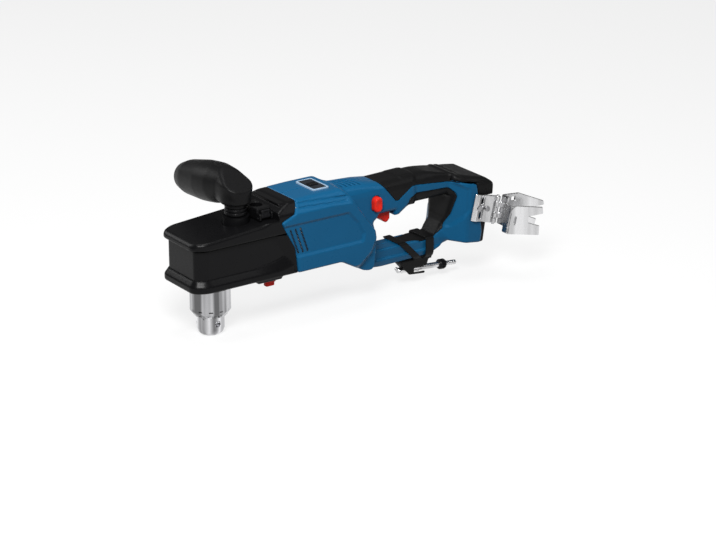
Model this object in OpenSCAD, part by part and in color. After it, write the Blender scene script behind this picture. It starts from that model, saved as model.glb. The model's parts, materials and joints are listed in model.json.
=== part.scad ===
// Cordless right angle drill with a D-handle, a side handle, a keyed chuck and a rafter hook.
// X runs rearward from the spindle, Y to the far side and Z up. The origin is the middle of the
// chuck's nose face, on the spindle axis. All sizes are in millimetres.

/* [Chuck] */
// Radius of the chuck sleeve
sleeve_r = 21.5; // [20:0.5:24]
// Length of the chuck sleeve
sleeve_len = 31; // [28:1:34]
// Radius of the chuck nose
nose_r = 14.5; // [13.5:0.5:16]
// Length of the nose below the sleeve
nose_len = 20.6; // [18:0.2:22]
// Radius of one jaw
jaw_r = 3.2; // [2.8:0.1:3.4]
// Angle between a jaw and the spindle axis
jaw_angle = 12; // [11:0.5:13]
// Largest shank that the jaws take
shank_max = 13; // [12:0.5:13]
// Smallest shank that the jaws take
shank_min = 1.5; // [1:0.5:3]
// Radius of the key's pilot holes
key_hole_r = 3; // [2.5:0.25:3.5]

/* [Gear head] */
// Height of the head's underside above the chuck nose
head_z = 57; // [56:1:62]
// Reach of the head in front of the spindle axis
head_front = 38; // [36:1:42]
// Width of the head
head_w = 73; // [72:1:80]
// Height of the head at its front
head_h = 53; // [52:1:60]
// Height of the top flange's edge
flange_h = 9; // [7:0.5:10]
// Height of the bottom guard
guard_h = 13; // [12:0.5:15]
// How far the side web is set back from the flanges
web_inset = 5; // [4:0.5:6]
// Where the black head meets the housing, behind the spindle axis
border_x = 84; // [84:1:92]

/* [Drive] */
// Radius of the spindle at its bearing
spindle_r = 7.5; // [7:0.25:8]
// Radius of the layshaft and of the motor shaft
shaft_r = 4; // [3.5:0.25:4.5]
// Height of the layshaft above the head's underside
shaft_rise = 29; // [28:0.5:30]
// Module of the bevel gears
bevel_m = 1.25; // [1.2:0.05:1.3]
// Module of the spur gears
spur_m = 1; // [0.95:0.05:1.05]
// Radius of the stator
stator_r = 26; // [24:0.5:28]
// Length of the stator
stator_len = 40; // [36:1:42]
// Radius of the fan
fan_r = 24; // [20:0.5:27]

/* [Housing] */
// Wall of the housing shells
wall = 3; // [2.6:0.1:3.4]
// Width of the motor body
body_w = 76; // [75:1:84]
// Height of the motor body above the head's underside
body_h = 77.5; // [76:0.5:84]
// Length of the motor body behind the border
body_len = 100; // [98:1:110]
// Radius of the body's long top edges
body_round = 16; // [12:1:20]
// Drop of the belly below the head's underside
belly_drop = 20; // [16:1:22]

/* [D-handle] */
// Length of the hand opening
window_len = 90; // [84:1:100]
// Height of the hand opening
window_h = 44; // [40:0.5:48]
// Height of the grip
grip_h = 32.5; // [30:0.5:36]
// Width of the grip
grip_w = 38; // [35:1:42]
// Height of the lower bar
bar_h = 21.5; // [20:0.5:24]
// Width of the lower bar
bar_w = 28; // [26:1:32]
// Drop of the lower bar's underside below the head's underside
bar_drop = 28; // [26:1:30]
// Thickness of the rubber layers
rubber_t = 1.6; // [1.2:0.1:2]
// Length of the rear foot
foot_len = 36; // [34:1:40]
// Width of the rear foot
foot_w = 70; // [66:1:76]

/* [Controls] */
// Width of the trigger
trigger_w = 24; // [20:1:26]
// Travel of the trigger
trigger_travel = 7; // [5:0.5:8]
// How far the direction switch stands out on each side
switch_out = 6; // [5:0.5:8]
// Diameter of the gear selector
selector_d = 14; // [12:0.5:16]
// Travel of the shift fork
shift_travel = 3.5; // [3:0.25:4]
// Length of the control panel
panel_len = 20; // [18:1:26]
// Width of the control panel
panel_w = 34; // [30:1:36]

/* [Side handle] */
// Length of the side handle's grip
handle_len = 117; // [105:1:125]
// Largest radius of the side handle's grip
handle_r = 21.5; // [20:0.5:22]
// Height of the handle's axis above the head's top edge
handle_rise = 42.5; // [42:0.5:46]
// Droop of the grip towards its tip
handle_droop = 9; // [6:1:10]

/* [Hook and key] */
// Thickness of the hook's sheet steel
hook_t = 2.5; // [2:0.25:3]
// Length of the hook's arm behind its hinge
hook_len = 66; // [60:1:72]
// Clear space between the hook's two claws
hook_gap = 16; // [13:1:18]
// Radius of the chuck key's shank
key_r = 3; // [2.5:0.25:3.5]
// Length of the chuck key
key_len = 79; // [72:1:86]

/* [Hidden] */

$fn = 48;
// Radial clearance of a running fit
fit = 0.05;
// Clearance between fixed pieces that sit in each other
seat = 0.1;
// Clearance between pieces that move past each other
gap = 0.4;
// Overshoot of a cut past a face
over = 1;
// A width or height that passes every piece
far = 400;

// Heights
sleeve_z0 = nose_len;
sleeve_z1 = sleeve_z0 + sleeve_len;
chuck_z1 = sleeve_z1 + 2;
web_z0 = head_z + 3;
guard_z1 = head_z + guard_h;
head_top = head_z + head_h;
flange_z = head_top - flange_h;
shaft_z = head_z + shaft_rise;
body_z1 = head_z + body_h;
belly_z = head_z - belly_drop;
bar_z0 = head_z - bar_drop;
bar_z1 = bar_z0 + bar_h;
grip_z0 = bar_z1 + window_h;
grip_z1 = grip_z0 + grip_h;
foot_z = bar_z0 + 14;
trigger_z = grip_z0 - 2.5;

// Stations behind the spindle axis
body_x1 = border_x + body_len;
window_x0 = body_x1 + 10;
window_x1 = window_x0 + window_len;
foot_x1 = window_x1 + foot_len;
rail_x1 = foot_x1 + 7;

// Gear train: bevel pinion on a crown gear, and two spur pairs between the motor and the layshaft
bevel_teeth = 12;
crown_teeth = 36;
low_teeth = 18;
low_pinion_teeth = 10;
high_teeth = 14;
bevel_r = bevel_m * bevel_teeth / 2;
crown_r = bevel_m * crown_teeth / 2;
crown_face = 5;
crown_pitch_z = shaft_z - bevel_r;
motor_z = shaft_z + spur_m * (low_teeth + low_pinion_teeth) / 2;
spur_w = 6;
low_x = border_x - 24;
dog_x = low_x + spur_w + gap;
dog_w = 5.6;
high_x = dog_x + dog_w + shift_travel + gap;
plate_x = high_x + spur_w + 2;
plate_t = 6;
lay_bush_r = shaft_r + 2;
lay_bearing_r = 2 * shaft_r;
lay_bearing_w = 5;
lay_bearing_x = 36;
motor_bearing_r = shaft_r + 5.5;
motor_bearing_w = 6;
motor_bearing_x = plate_x + plate_t + 1;
fan_x = motor_bearing_x + motor_bearing_w + 3;
fan_w = 7;
stator_x = fan_x + fan_w + 4;
stator_x1 = stator_x + stator_len;
bracket_w = 9;
bracket_r = stator_r - 8.5;
spindle_bearing_r = 2 * spindle_r + 1;
spindle_bearing_w = 9;
bush_r = 8;
bush_h = 9;
top_shaft_r = 5;

// Chuck: its bore, the axis of a jaw at the nose, and the nut and sleeve round the jaws
shank_bore_r = shank_max / 2 + 0.1;
chuck_bore_len = 31;
jaw_z0 = 1;
jaw_reach = 43;
jaw_axis_r = shank_max / 2 + 0.7;
nut_z0 = sleeve_z0 + 1;
nut_h = 7;
nut_bore_r = jaw_axis_r + (nut_z0 - jaw_z0) * tan(jaw_angle) + (jaw_r + gap) / cos(jaw_angle);
sleeve_wall = 1.6;
sleeve_taper = 6;
sleeve_low_r = nose_r + 1.9;
core_r = nose_r + 2.5;
nose_taper = 6;
key_hole_z = nose_len - 7.6;

// Vector and outline helpers
function unit(v) = v / norm(v);
function flat(p) = [p[0], p[1]];
function inward(v) = [-v[1], v[0]];
function before(p, i) = p[(i + len(p) - 1) % len(p)];
function after(p, i) = p[(i + 1) % len(p)];
function turns_left(a, b, c) = (b[0] - a[0]) * (c[1] - b[1]) - (b[1] - a[1]) * (c[0] - b[0]) > 0;

// An outline of [x, y, corner radius] drawn in by d, with its corner radii kept concentric
function inset(p, d) = [for (i = [0:len(p) - 1])
    let (
        a = before(p, i),
        b = p[i],
        c = after(p, i),
        n1 = inward(unit(flat(b) - flat(a))),
        n2 = inward(unit(flat(c) - flat(b))),
        move = (n1 + n2) * d / (1 + n1 * n2),
        r = b[2] + (turns_left(a, b, c) ? -d : d)
    )
    [b[0] + move[0], b[1] + move[1], max(r, 0)]];

// The points of one rounded corner
function corner(a, b, c, r, steps = 4) =
    let (
        u = unit(flat(a) - flat(b)),
        v = unit(flat(c) - flat(b)),
        half = acos(max(-1, min(1, u * v))) / 2
    )
    (r < 0.2 || half > 89) ? [flat(b)] :
    let (
        reach = r / tan(half),
        centre = flat(b) + unit(u + v) * r / sin(half),
        s = unit(flat(b) + u * reach - centre),
        e = unit(flat(b) + v * reach - centre),
        sweep = 180 - 2 * half
    )
    [for (k = [0:steps]) let (t = k / steps)
        centre + r * (sin((1 - t) * sweep) * s + sin(t * sweep) * e) / sin(sweep)];

// An outline of [x, y, corner radius] with its corners rounded
function rounded(p) = [for (i = [0:len(p) - 1]) each corner(before(p, i), p[i], after(p, i), p[i][2])];

// A rectangle from low to high with one corner radius above and one below
function rect(y0, z0, y1, z1, low_r, high_r) =
    [[y0, z0, low_r], [y1, z0, low_r], [y1, z1, high_r], [y0, z1, high_r]];

// Extrusions of an outline: across the tool, along the tool and upward
module side(p, half_w) {
    translate([0, half_w, 0]) rotate([90, 0, 0]) linear_extrude(2 * half_w) polygon(rounded(p));
}

module along(p, x0, x1) {
    translate([x0, 0, 0]) rotate([90, 0, 90]) linear_extrude(x1 - x0) polygon(rounded(p));
}

module upward(p, z0, z1) {
    translate([0, 0, z0]) linear_extrude(z1 - z0) polygon(rounded(p));
}

// Round bars along each axis
module bar_x(x, y, z, r, length) {
    translate([x, y, z]) rotate([0, 90, 0]) cylinder(r = r, h = length);
}

module bar_y(x, y, z, r, length) {
    translate([x, y, z]) rotate([-90, 0, 0]) cylinder(r = r, h = length);
}

module bar_z(x, y, z, r, length) {
    translate([x, y, z]) cylinder(r = r, h = length);
}

// A block between two corners
module block(low, high) {
    translate(low) cube(high - low);
}

// A ball bearing with its axis along Z: two rings and the balls between them
module ball_bearing(bore_r, outer_r, w) {
    depth = outer_r - bore_r;
    mid_r = (outer_r + bore_r) / 2;
    ball_r = 0.2 * depth - 0.05;
    balls = floor(PI * mid_r / (1.2 * ball_r));
    difference() {
        cylinder(r = outer_r, h = w);
        translate([0, 0, -over]) cylinder(r = outer_r - 0.3 * depth, h = w + 2 * over);
    }
    difference() {
        cylinder(r = bore_r + 0.3 * depth, h = w);
        translate([0, 0, -over]) cylinder(r = bore_r, h = w + 2 * over);
    }
    for (i = [0:balls - 1])
        rotate([0, 0, 360 * i / balls]) translate([mid_r, 0, w / 2]) sphere(r = ball_r);
}

// The outline of a spur gear with straight-sided teeth and working backlash
function gear_outline(teeth, m, phase) =
    let (r = m * teeth / 2, pitch = 360 / teeth)
    [for (i = [0:teeth - 1]) for (p = [[-0.3, -1.15], [-0.11, 0.85], [0.11, 0.85], [0.3, -1.15]])
        let (a = phase + (i + p[0]) * pitch, q = r + p[1] * m) [q * cos(a), q * sin(a)]];

// A spur gear with its axis along X at the height z, where phase is the angle of a tooth from +Y
module spur_x(teeth, m, x, z, w, bore_r, phase) {
    difference() {
        translate([x, 0, z]) rotate([90, 0, 90]) linear_extrude(w) polygon(gear_outline(teeth, m, phase));
        bar_x(x - over, 0, z, bore_r, w + 2 * over);
    }
}

// Outlines of the housing, seen from the side, as [x, z, corner radius]
tip_reach = 20;
body_profile = [
    [border_x, head_z, 2],
    [border_x + 54, head_z, 12],
    [body_x1 - 15, belly_z + 3, 10],
    [body_x1 - 2, belly_z, 6],
    [body_x1 + 1, belly_z + 27, 6],
    [body_x1 - 3, shaft_z - 3, 6],
    [body_x1 - 25, body_z1 - 22, 8],
    [body_x1 - 33, body_z1 - 8, 5],
    [body_x1 - 41, body_z1, 6],
    [border_x + 26, body_z1, 20],
    [border_x + 4, body_z1 - 1.5, 0],
    [border_x + 2, body_z1 - 4.5, 0],
    [border_x - 4, body_z1 - 13.5, 0],
    [border_x - tip_reach, body_z1 - 20, 2],
    [border_x - 3, shaft_z - 2, 4]
];
root_profile = [
    [body_x1 - 44, bar_z1, 0],
    [window_x0 - 2, bar_z1, 0],
    [window_x0 + 1, bar_z1 + 20, 5],
    [window_x0 - 3, grip_z0 - 10, 3],
    [window_x0 + 2, grip_z0 - 6.5, 2],
    [window_x0 + 4, trigger_z, 1],
    [window_x0 + 24, trigger_z, 1],
    [window_x0 + 24.5, grip_z0 - 8.2, 1],
    [window_x0 + 29.3, grip_z0 - 8.2, 2],
    [window_x0 + 42, grip_z0, 5],
    [window_x0 + 50, grip_z0, 0],
    [window_x0 + 50, grip_z1 - 0.6, 0],
    [window_x0 + 9, grip_z1 - 2, 12],
    [body_x1 - 2, grip_z1 + 2, 10],
    [body_x1 - 44, body_z1 - 1.5, 0]
];
grip_profile = [
    [window_x0 + 34, grip_z0, 0],
    [window_x1 + 12, grip_z0, 0],
    [window_x1 + 16, grip_z0 + 4, 0],
    [window_x1 + 16, grip_z1 - 10, 0],
    [window_x1 + 6, grip_z1 - 7.5, 6],
    [window_x0 + 61, grip_z1, 60],
    [window_x0 + 34, grip_z1 - 0.6, 0]
];
bar_profile = [
    [body_x1 - 12, belly_z + 4, 0],
    [body_x1 + 6, bar_z0 + 2.5, 20],
    [window_x0 + 12, bar_z0, 20],
    [window_x1 - 14, bar_z0 + 2, 10],
    [window_x1 + 6, bar_z0 + 13, 0],
    [window_x1 + 6, bar_z1 + 10, 0],
    [window_x1 - 1, bar_z1 + 8, 4],
    [window_x1 - 11, bar_z1, 8],
    [body_x1 - 12, bar_z1, 0]
];
foot_profile = [
    [window_x1 + 3, foot_z + 1.5, 6],
    [foot_x1 + 1, foot_z - 3, 2],
    [foot_x1 + 3, foot_z + 9, 0],
    [foot_x1 - 4, grip_z1 - 20, 0],
    [foot_x1 - 5, grip_z1 - 14, 4],
    [window_x1 + 6, grip_z1 - 8, 0],
    [window_x1 + 8, grip_z0, 4],
    [window_x1 + 3, bar_z1 + 20, 20],
    [window_x1 - 4, bar_z1 + 4, 0]
];
foot_plan = [
    [window_x1 - 12, -bar_w / 2, 0],
    [window_x1 - 2, -bar_w / 2, 6],
    [window_x1 + 17, -foot_w / 2, 10],
    [rail_x1 + far, -foot_w / 2, 0],
    [rail_x1 + far, foot_w / 2, 0],
    [window_x1 + 17, foot_w / 2, 10],
    [window_x1 - 2, bar_w / 2, 6],
    [window_x1 - 12, bar_w / 2, 0]
];

// Cross-sections, seen from the front, as [y, z, corner radius]
body_section = rect(-body_w / 2, belly_z - over, body_w / 2, body_z1, 10, body_round);
root_section = rect(-grip_w / 2 - 2, bar_z1 - over, grip_w / 2 + 2, body_z1, 2, 19);
grip_section = rect(-grip_w / 2, grip_z0, grip_w / 2, grip_z1, 9, 13);
bar_section = rect(-bar_w / 2, bar_z0, bar_w / 2, bar_z1 + 12, 7, 4);
rear_section = rect(-foot_w / 2, bar_z0 - over, foot_w / 2, grip_z1 - 6, 4, 22);

// The housing's blocks, each drawn in by d
module body_block(d = 0) {
    intersection() {
        side(inset(body_profile, d), body_w);
        along(inset(body_section, d), border_x - tip_reach - over, body_x1 + 5);
    }
}

module root_block(d = 0) {
    intersection() {
        side(inset(root_profile, d), body_w);
        along(inset(root_section, d), border_x, window_x1);
    }
}

module grip_block(d = 0) {
    intersection() {
        side(inset(grip_profile, d), body_w);
        along(inset(grip_section, d), border_x, rail_x1);
    }
}

module bar_block(d = 0) {
    intersection() {
        side(inset(bar_profile, d), body_w);
        along(inset(bar_section, d), border_x, rail_x1);
    }
}

module foot_block(d = 0) {
    intersection() {
        side(inset(foot_profile, d), body_w);
        upward(inset(foot_plan, d), 0, far);
        along(inset(rear_section, d), border_x, rail_x1 + far);
    }
}

module housing_blocks(d = 0) {
    body_block(d);
    root_block(d);
    grip_block(d);
    bar_block(d);
    foot_block(d);
}

// Rubber zones on the D-handle, seen from the side
grip_zone = [
    [body_x1 + 5, body_z1, 0],
    [window_x0 + 27, grip_z0 + 7, 3],
    [window_x0 + 43, grip_z0 + 22, 3],
    [window_x1 + 4, grip_z0 + 16.5, 0],
    [window_x1 + 4, body_z1, 0]
];
bar_zone = [
    [window_x0 + 4, bar_z1 - 1.5, 0],
    [window_x1 - 9, bar_z1 - 1.5, 0],
    [window_x1 - 9, bar_z1 + 16, 0],
    [window_x0 + 4, bar_z1 + 16, 0]
];

// The rubber layer over the grip, drawn in by d, lying t deep and standing proud by out
module grip_layer(d, t, out) {
    intersection() {
        side(inset(grip_zone, d), body_w);
        difference() {
            union() {
                root_block(-out);
                grip_block(-out);
            }
            union() {
                root_block(t);
                grip_block(t);
            }
            body_block(-gap);
            foot_block(0);
        }
    }
}

module bar_layer(d, t, out) {
    intersection() {
        side(inset(bar_zone, d), body_w);
        difference() {
            bar_block(-out);
            bar_block(t);
            foot_block(-seat);
        }
    }
}

// Places of the trigger and the direction switch
trigger_x0 = window_x0 + 5;
trigger_x1 = window_x0 + 23;
trigger_flange = 2;
switch_z = trigger_z + wall + gap + 3 + trigger_travel + 1.2;
direction_x = body_x1 + 8;
direction_z = grip_z1 - 21.3;
direction_h = 16.5;
direction_w = 10;

module direction_bar(d, half_y) {
    w = direction_w / 2 + d;
    h = direction_h / 2 + d;
    r = w - 0.2;
    side([
        [direction_x - w, direction_z - h, r],
        [direction_x + w, direction_z - h, r],
        [direction_x + w, direction_z + h, r],
        [direction_x - w, direction_z + h, r]
    ], half_y);
}

// Panel pocket on the body's top
panel_x = border_x + 32;
panel_t = 2.2;

module panel_plate(d, z0, z1) {
    upward([
        [panel_x - d, -panel_w / 2 - d, 3],
        [panel_x + panel_len + d, -panel_w / 2 - d, 3],
        [panel_x + panel_len + d, panel_w / 2 + d, 3],
        [panel_x - d, panel_w / 2 + d, 3]
    ], z0, z1);
}

// Vent slots: a slanted row over the motor and three diagonal ones on each side
top_vents = 6;
side_vents = 3;

module vents() {
    for (i = [0:top_vents - 1])
        translate([panel_x + panel_len + 7 + 5 * i, 0, body_z1 - 14])
            rotate([0, 0, 20])
                block([-1, -13, 0], [1, 13, 24]);
    for (s = [-1, 1]) for (i = [0:side_vents - 1])
        translate([border_x + 1 + 5.5 * i, s * body_w / 2, motor_z - 10])
            rotate([0, -25, 0])
                block([-1, -7, -14], [1, 7, 14]);
}

// Housing screws, as [x, z]
screw_places = [
    [border_x + 18, head_z + 8],
    [border_x + 66, head_z + 3],
    [body_x1 - 12, body_z1 - 22.5],
    [window_x0 + 2, bar_z1 - 11],
    [window_x0 + 50, grip_z0 + 14],
    [window_x1 - 20, bar_z1 - 11],
    [foot_x1 - 14, foot_z + 9],
    [foot_x1 - 14, grip_z1 - 26]
];
screw_r = 1.9;
screw_head_r = 3.4;
screw_len = bar_w - 8;
boss_r = 4.6;

module screw_bores() {
    for (p = screw_places) {
        bar_y(p[0], -screw_len / 2 - 1, p[1], screw_r + seat, screw_len + 2);
        bar_y(p[0], screw_len / 2, p[1], screw_head_r + gap, far);
    }
}

module screw_bosses() {
    intersection() {
        housing_blocks(wall / 2);
        for (p = screw_places) bar_y(p[0], -body_w, p[1], boss_r, 2 * body_w);
    }
}

// Ribs inside the housing that hold the stator
rib_w = 4;
rib_inset = 5;

module stator_ribs() {
    for (x = [stator_x + rib_inset, stator_x1 - rib_inset - rib_w])
        difference() {
            intersection() {
                body_block(wall / 2);
                block([x, -body_w, 0], [x + rib_w, body_w, far]);
            }
            bar_x(x - over, 0, motor_z, stator_r + seat, rib_w + 2 * over);
            block([x - over, -stator_r - 3, motor_z - far],
                  [x + rib_w + over, stator_r + 3, motor_z - stator_r + 4]);
        }
}

module housing_shell() {
    difference() {
        union() {
            difference() {
                housing_blocks(0);
                housing_blocks(wall);
                intersection() {
                    along(inset(body_section, wall), border_x - tip_reach - 2 * over, border_x + 12);
                    block([0, -far, head_z + wall], [far, far, far]);
                }
            }
            screw_bosses();
            stator_ribs();
        }
        screw_bores();
        grip_layer(-seat, rubber_t + seat, over);
        bar_layer(-seat, rubber_t + seat, over);
        panel_plate(seat, body_z1 - panel_t - seat, body_z1 + over);
        direction_bar(gap, body_w);
        block([trigger_x0 - gap, -trigger_w / 2 - gap, trigger_z - over],
              [trigger_x1 + gap, trigger_w / 2 + gap, trigger_z + wall + over]);
        vents();
        rail_recess();
        bumper_recess();
    }
}

module housing_left() {
    color("#0f4c81") intersection() {
        housing_shell();
        block([0, -far, -far], [far, 0, far]);
    }
}

module housing_right() {
    color("#0f4c81") intersection() {
        housing_shell();
        block([0, 0, -far], [far, far, far]);
    }
}

module housing_screws() {
    color("dimgray") for (p = screw_places) {
        bar_y(p[0], -screw_len / 2, p[1], screw_r, screw_len + 1);
        difference() {
            bar_y(p[0], screw_len / 2, p[1], screw_head_r, 3);
            bar_y(p[0], screw_len / 2 + 1, p[1], screw_r - 0.3, 3, $fn = 6);
        }
    }
}

// Chuck
module jaw_place(i) {
    rotate([0, 0, 90 + 120 * i]) translate([jaw_axis_r, 0, jaw_z0]) rotate([0, jaw_angle, 0]) children();
}

module chuck_body() {
    color("silver") difference() {
        union() {
            cylinder(r1 = nose_r - 4, r2 = nose_r, h = nose_taper);
            bar_z(0, 0, nose_taper, nose_r, chuck_z1 - nose_taper);
            bar_z(0, 0, nut_z0 + nut_h + gap, core_r, chuck_z1 - nut_z0 - nut_h - gap);
            bar_z(0, 0, sleeve_z1 + gap, sleeve_r - 1.5, chuck_z1 - sleeve_z1 - gap);
        }
        bar_z(0, 0, -over, shank_bore_r, chuck_bore_len + over);
        bar_z(0, 0, chuck_bore_len, spindle_thread_r + seat, far);
        for (i = [0:2]) {
            jaw_place(i) translate([0, 0, -12]) cylinder(r = jaw_r + fit, h = jaw_reach + 14);
            rotate([0, 0, 30 + 120 * i]) bar_x(nose_r - 6, 0, key_hole_z, key_hole_r, 8);
        }
    }
}

flutes = 24;
sleeve_teeth = 24;

// The hollow inside the sleeve, drawn in by d
module sleeve_cavity(d) {
    translate([0, 0, nut_z0])
        cylinder(r1 = sleeve_low_r - d, r2 = sleeve_r - sleeve_wall - d, h = sleeve_taper);
    bar_z(0, 0, nut_z0 + sleeve_taper, sleeve_r - sleeve_wall - d, far);
}

module chuck_sleeve() {
    color("silver") difference() {
        union() {
            translate([0, 0, sleeve_z0]) cylinder(r1 = sleeve_low_r + 1, r2 = sleeve_r, h = sleeve_taper);
            bar_z(0, 0, sleeve_z0 + sleeve_taper, sleeve_r, sleeve_len - sleeve_taper);
        }
        bar_z(0, 0, sleeve_z0 - over, max(nose_r + fit, nut_bore_r), far);
        sleeve_cavity(0);
        for (i = [0:flutes - 1])
            rotate([0, 0, 360 * i / flutes])
                bar_z(sleeve_r + 0.5, 0, sleeve_z0 + sleeve_taper + 3, 1.2, far);
        for (i = [0:sleeve_teeth - 1])
            rotate([0, 0, 360 * (i + 0.5) / sleeve_teeth])
                translate([sleeve_low_r + 1.5, 0, sleeve_z0]) rotate([0, 30, 0]) translate([0, 0, -2])
                    cylinder(r = 1, h = 9);
    }
}

module chuck_nut() {
    color("gray") difference() {
        intersection() {
            sleeve_cavity(seat);
            bar_z(0, 0, nut_z0 + seat, sleeve_r, nut_h - seat);
        }
        bar_z(0, 0, 0, nose_r + fit, far);
        translate([0, 0, nut_z0])
            cylinder(r1 = nut_bore_r, r2 = nut_bore_r + nut_h * tan(jaw_angle), h = nut_h + seat);
    }
}

module jaw(i) {
    color("lightslategray") intersection() {
        difference() {
            jaw_place(i) cylinder(r = jaw_r, h = jaw_reach);
            cylinder(r = shank_bore_r, h = far);
        }
        bar_z(0, 0, jaw_z0 / 2, sleeve_r - sleeve_wall - gap, jaw_reach);
        rotate([0, 0, 90 + 120 * i]) jaw_third();
    }
}

// The third of the round that one jaw keeps to, so that closed jaws stay clear of each other
module jaw_third() {
    apex = (shank_max - shank_min) / 2 + 0.25;
    linear_extrude(far)
        polygon([[apex, 0], [apex + far * cos(60), -far * sin(60)], [apex + far * cos(60), far * sin(60)]]);
}

module jaw_1() { jaw(0); }
module jaw_2() { jaw(1); }
module jaw_3() { jaw(2); }

spindle_thread_r = 7.9;
thread_len = 17;
screw_bore_r = 2.6;

module chuck_screw() {
    color("dimgray") {
        bar_z(0, 0, chuck_z1 - thread_len - 1.5, screw_bore_r - seat, 14);
        bar_z(0, 0, chuck_z1 - thread_len - 4, 4.5, 3.5);
    }
}

// Spindle and its bearings
crown_z0 = web_z0 + spindle_bearing_w + 1;

module spindle() {
    color("slategray") difference() {
        union() {
            bar_z(0, 0, chuck_z1 - thread_len, spindle_thread_r, thread_len);
            bar_z(0, 0, chuck_z1, spindle_r + 1.5, web_z0 - chuck_z1);
            bar_z(0, 0, web_z0, spindle_r, crown_pitch_z - web_z0 - 1);
            bar_z(0, 0, crown_pitch_z - 1, top_shaft_r, flange_z - crown_pitch_z);
        }
        bar_z(0, 0, chuck_z1 - thread_len - over, screw_bore_r, 14);
    }
}

module crown_gear() {
    rim_z = crown_pitch_z - 1.4;
    color("darkgray") difference() {
        union() {
            bar_z(0, 0, crown_z0, crown_r + crown_face / 2, rim_z - crown_z0);
            for (i = [0:crown_teeth - 1])
                rotate([0, 0, 360 * (i + 0.5) / crown_teeth])
                    translate([crown_r - crown_face / 2, 0, rim_z - 0.2])
                        rotate([90, 0, 90])
                            linear_extrude(crown_face)
                                polygon([[-0.9, 0], [0.9, 0], [0.4, 2.4], [-0.4, 2.4]]);
        }
        bar_z(0, 0, crown_z0 - over, spindle_r + fit, far);
        difference() {
            bar_z(0, 0, rim_z - 2, crown_r - crown_face / 2 - 1, far);
            bar_z(0, 0, rim_z - 2 - over, spindle_r + 4, far);
        }
    }
}

module spindle_bearing() {
    color("lightgray") translate([0, 0, web_z0 + seat])
        ball_bearing(spindle_r + fit, spindle_bearing_r, spindle_bearing_w);
}

module spindle_bush() {
    color("darkgoldenrod") difference() {
        bar_z(0, 0, flange_z - bush_h, bush_r, bush_h);
        bar_z(0, 0, 0, top_shaft_r + fit, far);
    }
}

module spindle_seal() {
    color("black") difference() {
        bar_z(0, 0, head_z + 0.3, spindle_bearing_r - 2, web_z0 - head_z - 0.4);
        bar_z(0, 0, 0, spindle_r + 1.5 + fit, far);
    }
}

// Gear head
hw = head_w / 2;
head_plan = [
    [-head_front, -hw + 8, 11],
    [-head_front + 14, -hw, 22],
    [border_x + 10, -hw, 0],
    [border_x + 10, hw, 0],
    [-head_front + 14, hw, 22],
    [-head_front, hw - 8, 11]
];
tunnel_half = 16;
block_half = 22;
block_z1 = motor_z + 12;
block_x0 = low_x - 4;
case_x1 = plate_x - seat;

module case_outline(d) {
    intersection() {
        upward(inset(head_plan, web_inset + d), web_z0, flange_z - seat);
        block([-far, -far, 0], [case_x1, far, far]);
    }
}

module upper_block(d) {
    block([block_x0 - d, -block_half - d, flange_z - 2], [case_x1, block_half + d, block_z1 + d]);
}

selector_x = 56;
selector_y = -hw + 12.5;
fork_z = web_z0 + 11;
pin_throw = shift_travel / 2;
pin_r = 1.2;
slot_half = pin_r + 0.5;

module gear_case() {
    color("#1c1c1e") difference() {
        union() {
            case_outline(0);
            upper_block(0);
        }
        bar_z(0, 0, web_z0 - over, spindle_bearing_r + seat, spindle_bearing_w + over + seat);
        bar_z(0, 0, web_z0 + spindle_bearing_w + seat, crown_r + crown_face / 2 + 1.5, far);
        block([0, -tunnel_half, fork_z - 1], [lay_bearing_x - 2, tunnel_half, far]);
        block([lay_bearing_x + lay_bearing_w + 3, -tunnel_half, fork_z - 1],
              [plate_x, tunnel_half, motor_z + 9]);
        block([low_x - 18, -hw + web_inset + 3, fork_z - 1], [high_x, -tunnel_half + over, fork_z + 9]);
        bar_x(0, 0, shaft_z, shaft_r + gap, far);
        bar_x(lay_bearing_x, 0, shaft_z, lay_bearing_r + seat, lay_bearing_w + 3 + over);
        bar_z(selector_x, selector_y, 0, 3 + fit, far);
        for (p = head_screw_places) bar_z(p[0], p[1], 0, screw_r + seat, web_z0 + 8);
    }
}

head_screw_places = [[-24, -20], [-24, 20], [70, -26], [70, 26]];

module head_screws() {
    color("dimgray") for (p = head_screw_places) {
        bar_z(p[0], p[1], head_z + 1.5, screw_r, web_z0 + 5 - head_z);
        difference() {
            bar_z(p[0], p[1], head_z, screw_head_r, 1.6);
            bar_z(p[0], p[1], head_z - over, 1.6, over + 1, $fn = 6);
        }
    }
}

module head_guard() {
    pad = 3;
    color("#232325") difference() {
        union() {
            intersection() {
                union() {
                    upward(head_plan, head_z, guard_z1 - 4);
                    upward(inset(head_plan, 2.5), head_z, guard_z1);
                }
                block([-far, -far, 0], [border_x - gap, far, far]);
            }
            upward([
                [selector_x - 20, selector_y - 11, 2],
                [selector_x + 10, selector_y - 11, 2],
                [selector_x + 10, selector_y + 12, 2],
                [selector_x - 20, selector_y + 12, 2]
            ], head_z - pad, head_z + 1);
        }
        upward(inset(head_plan, web_inset - seat), web_z0, far);
        bar_z(0, 0, head_z - over, spindle_bearing_r - 2 + seat, far);
        bar_z(selector_x, selector_y, head_z - pad - over, 3 + fit, far);
        bar_z(selector_x, selector_y, head_z - pad - over, selector_d / 2 + gap, over + 2);
        for (p = head_screw_places) {
            bar_z(p[0], p[1], 0, screw_r + seat, far);
            bar_z(p[0], p[1], 0, screw_head_r + seat, head_z + 1.6 + seat);
        }
        side(inset(body_profile, -gap), body_w);
    }
}

cover_profile = [
    [-head_front - over, flange_z, 0],
    [border_x + 3, flange_z, 0],
    [border_x + 3, body_z1 - 2.1, 0],
    [border_x - 6, body_z1 - 2.5, 8],
    [border_x - 18, body_z1 - 7, 14],
    [border_x - 38, head_top + 6, 20],
    [-head_front + 5, head_top, 3],
    [-head_front - over, head_top - 3, 0]
];

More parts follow.
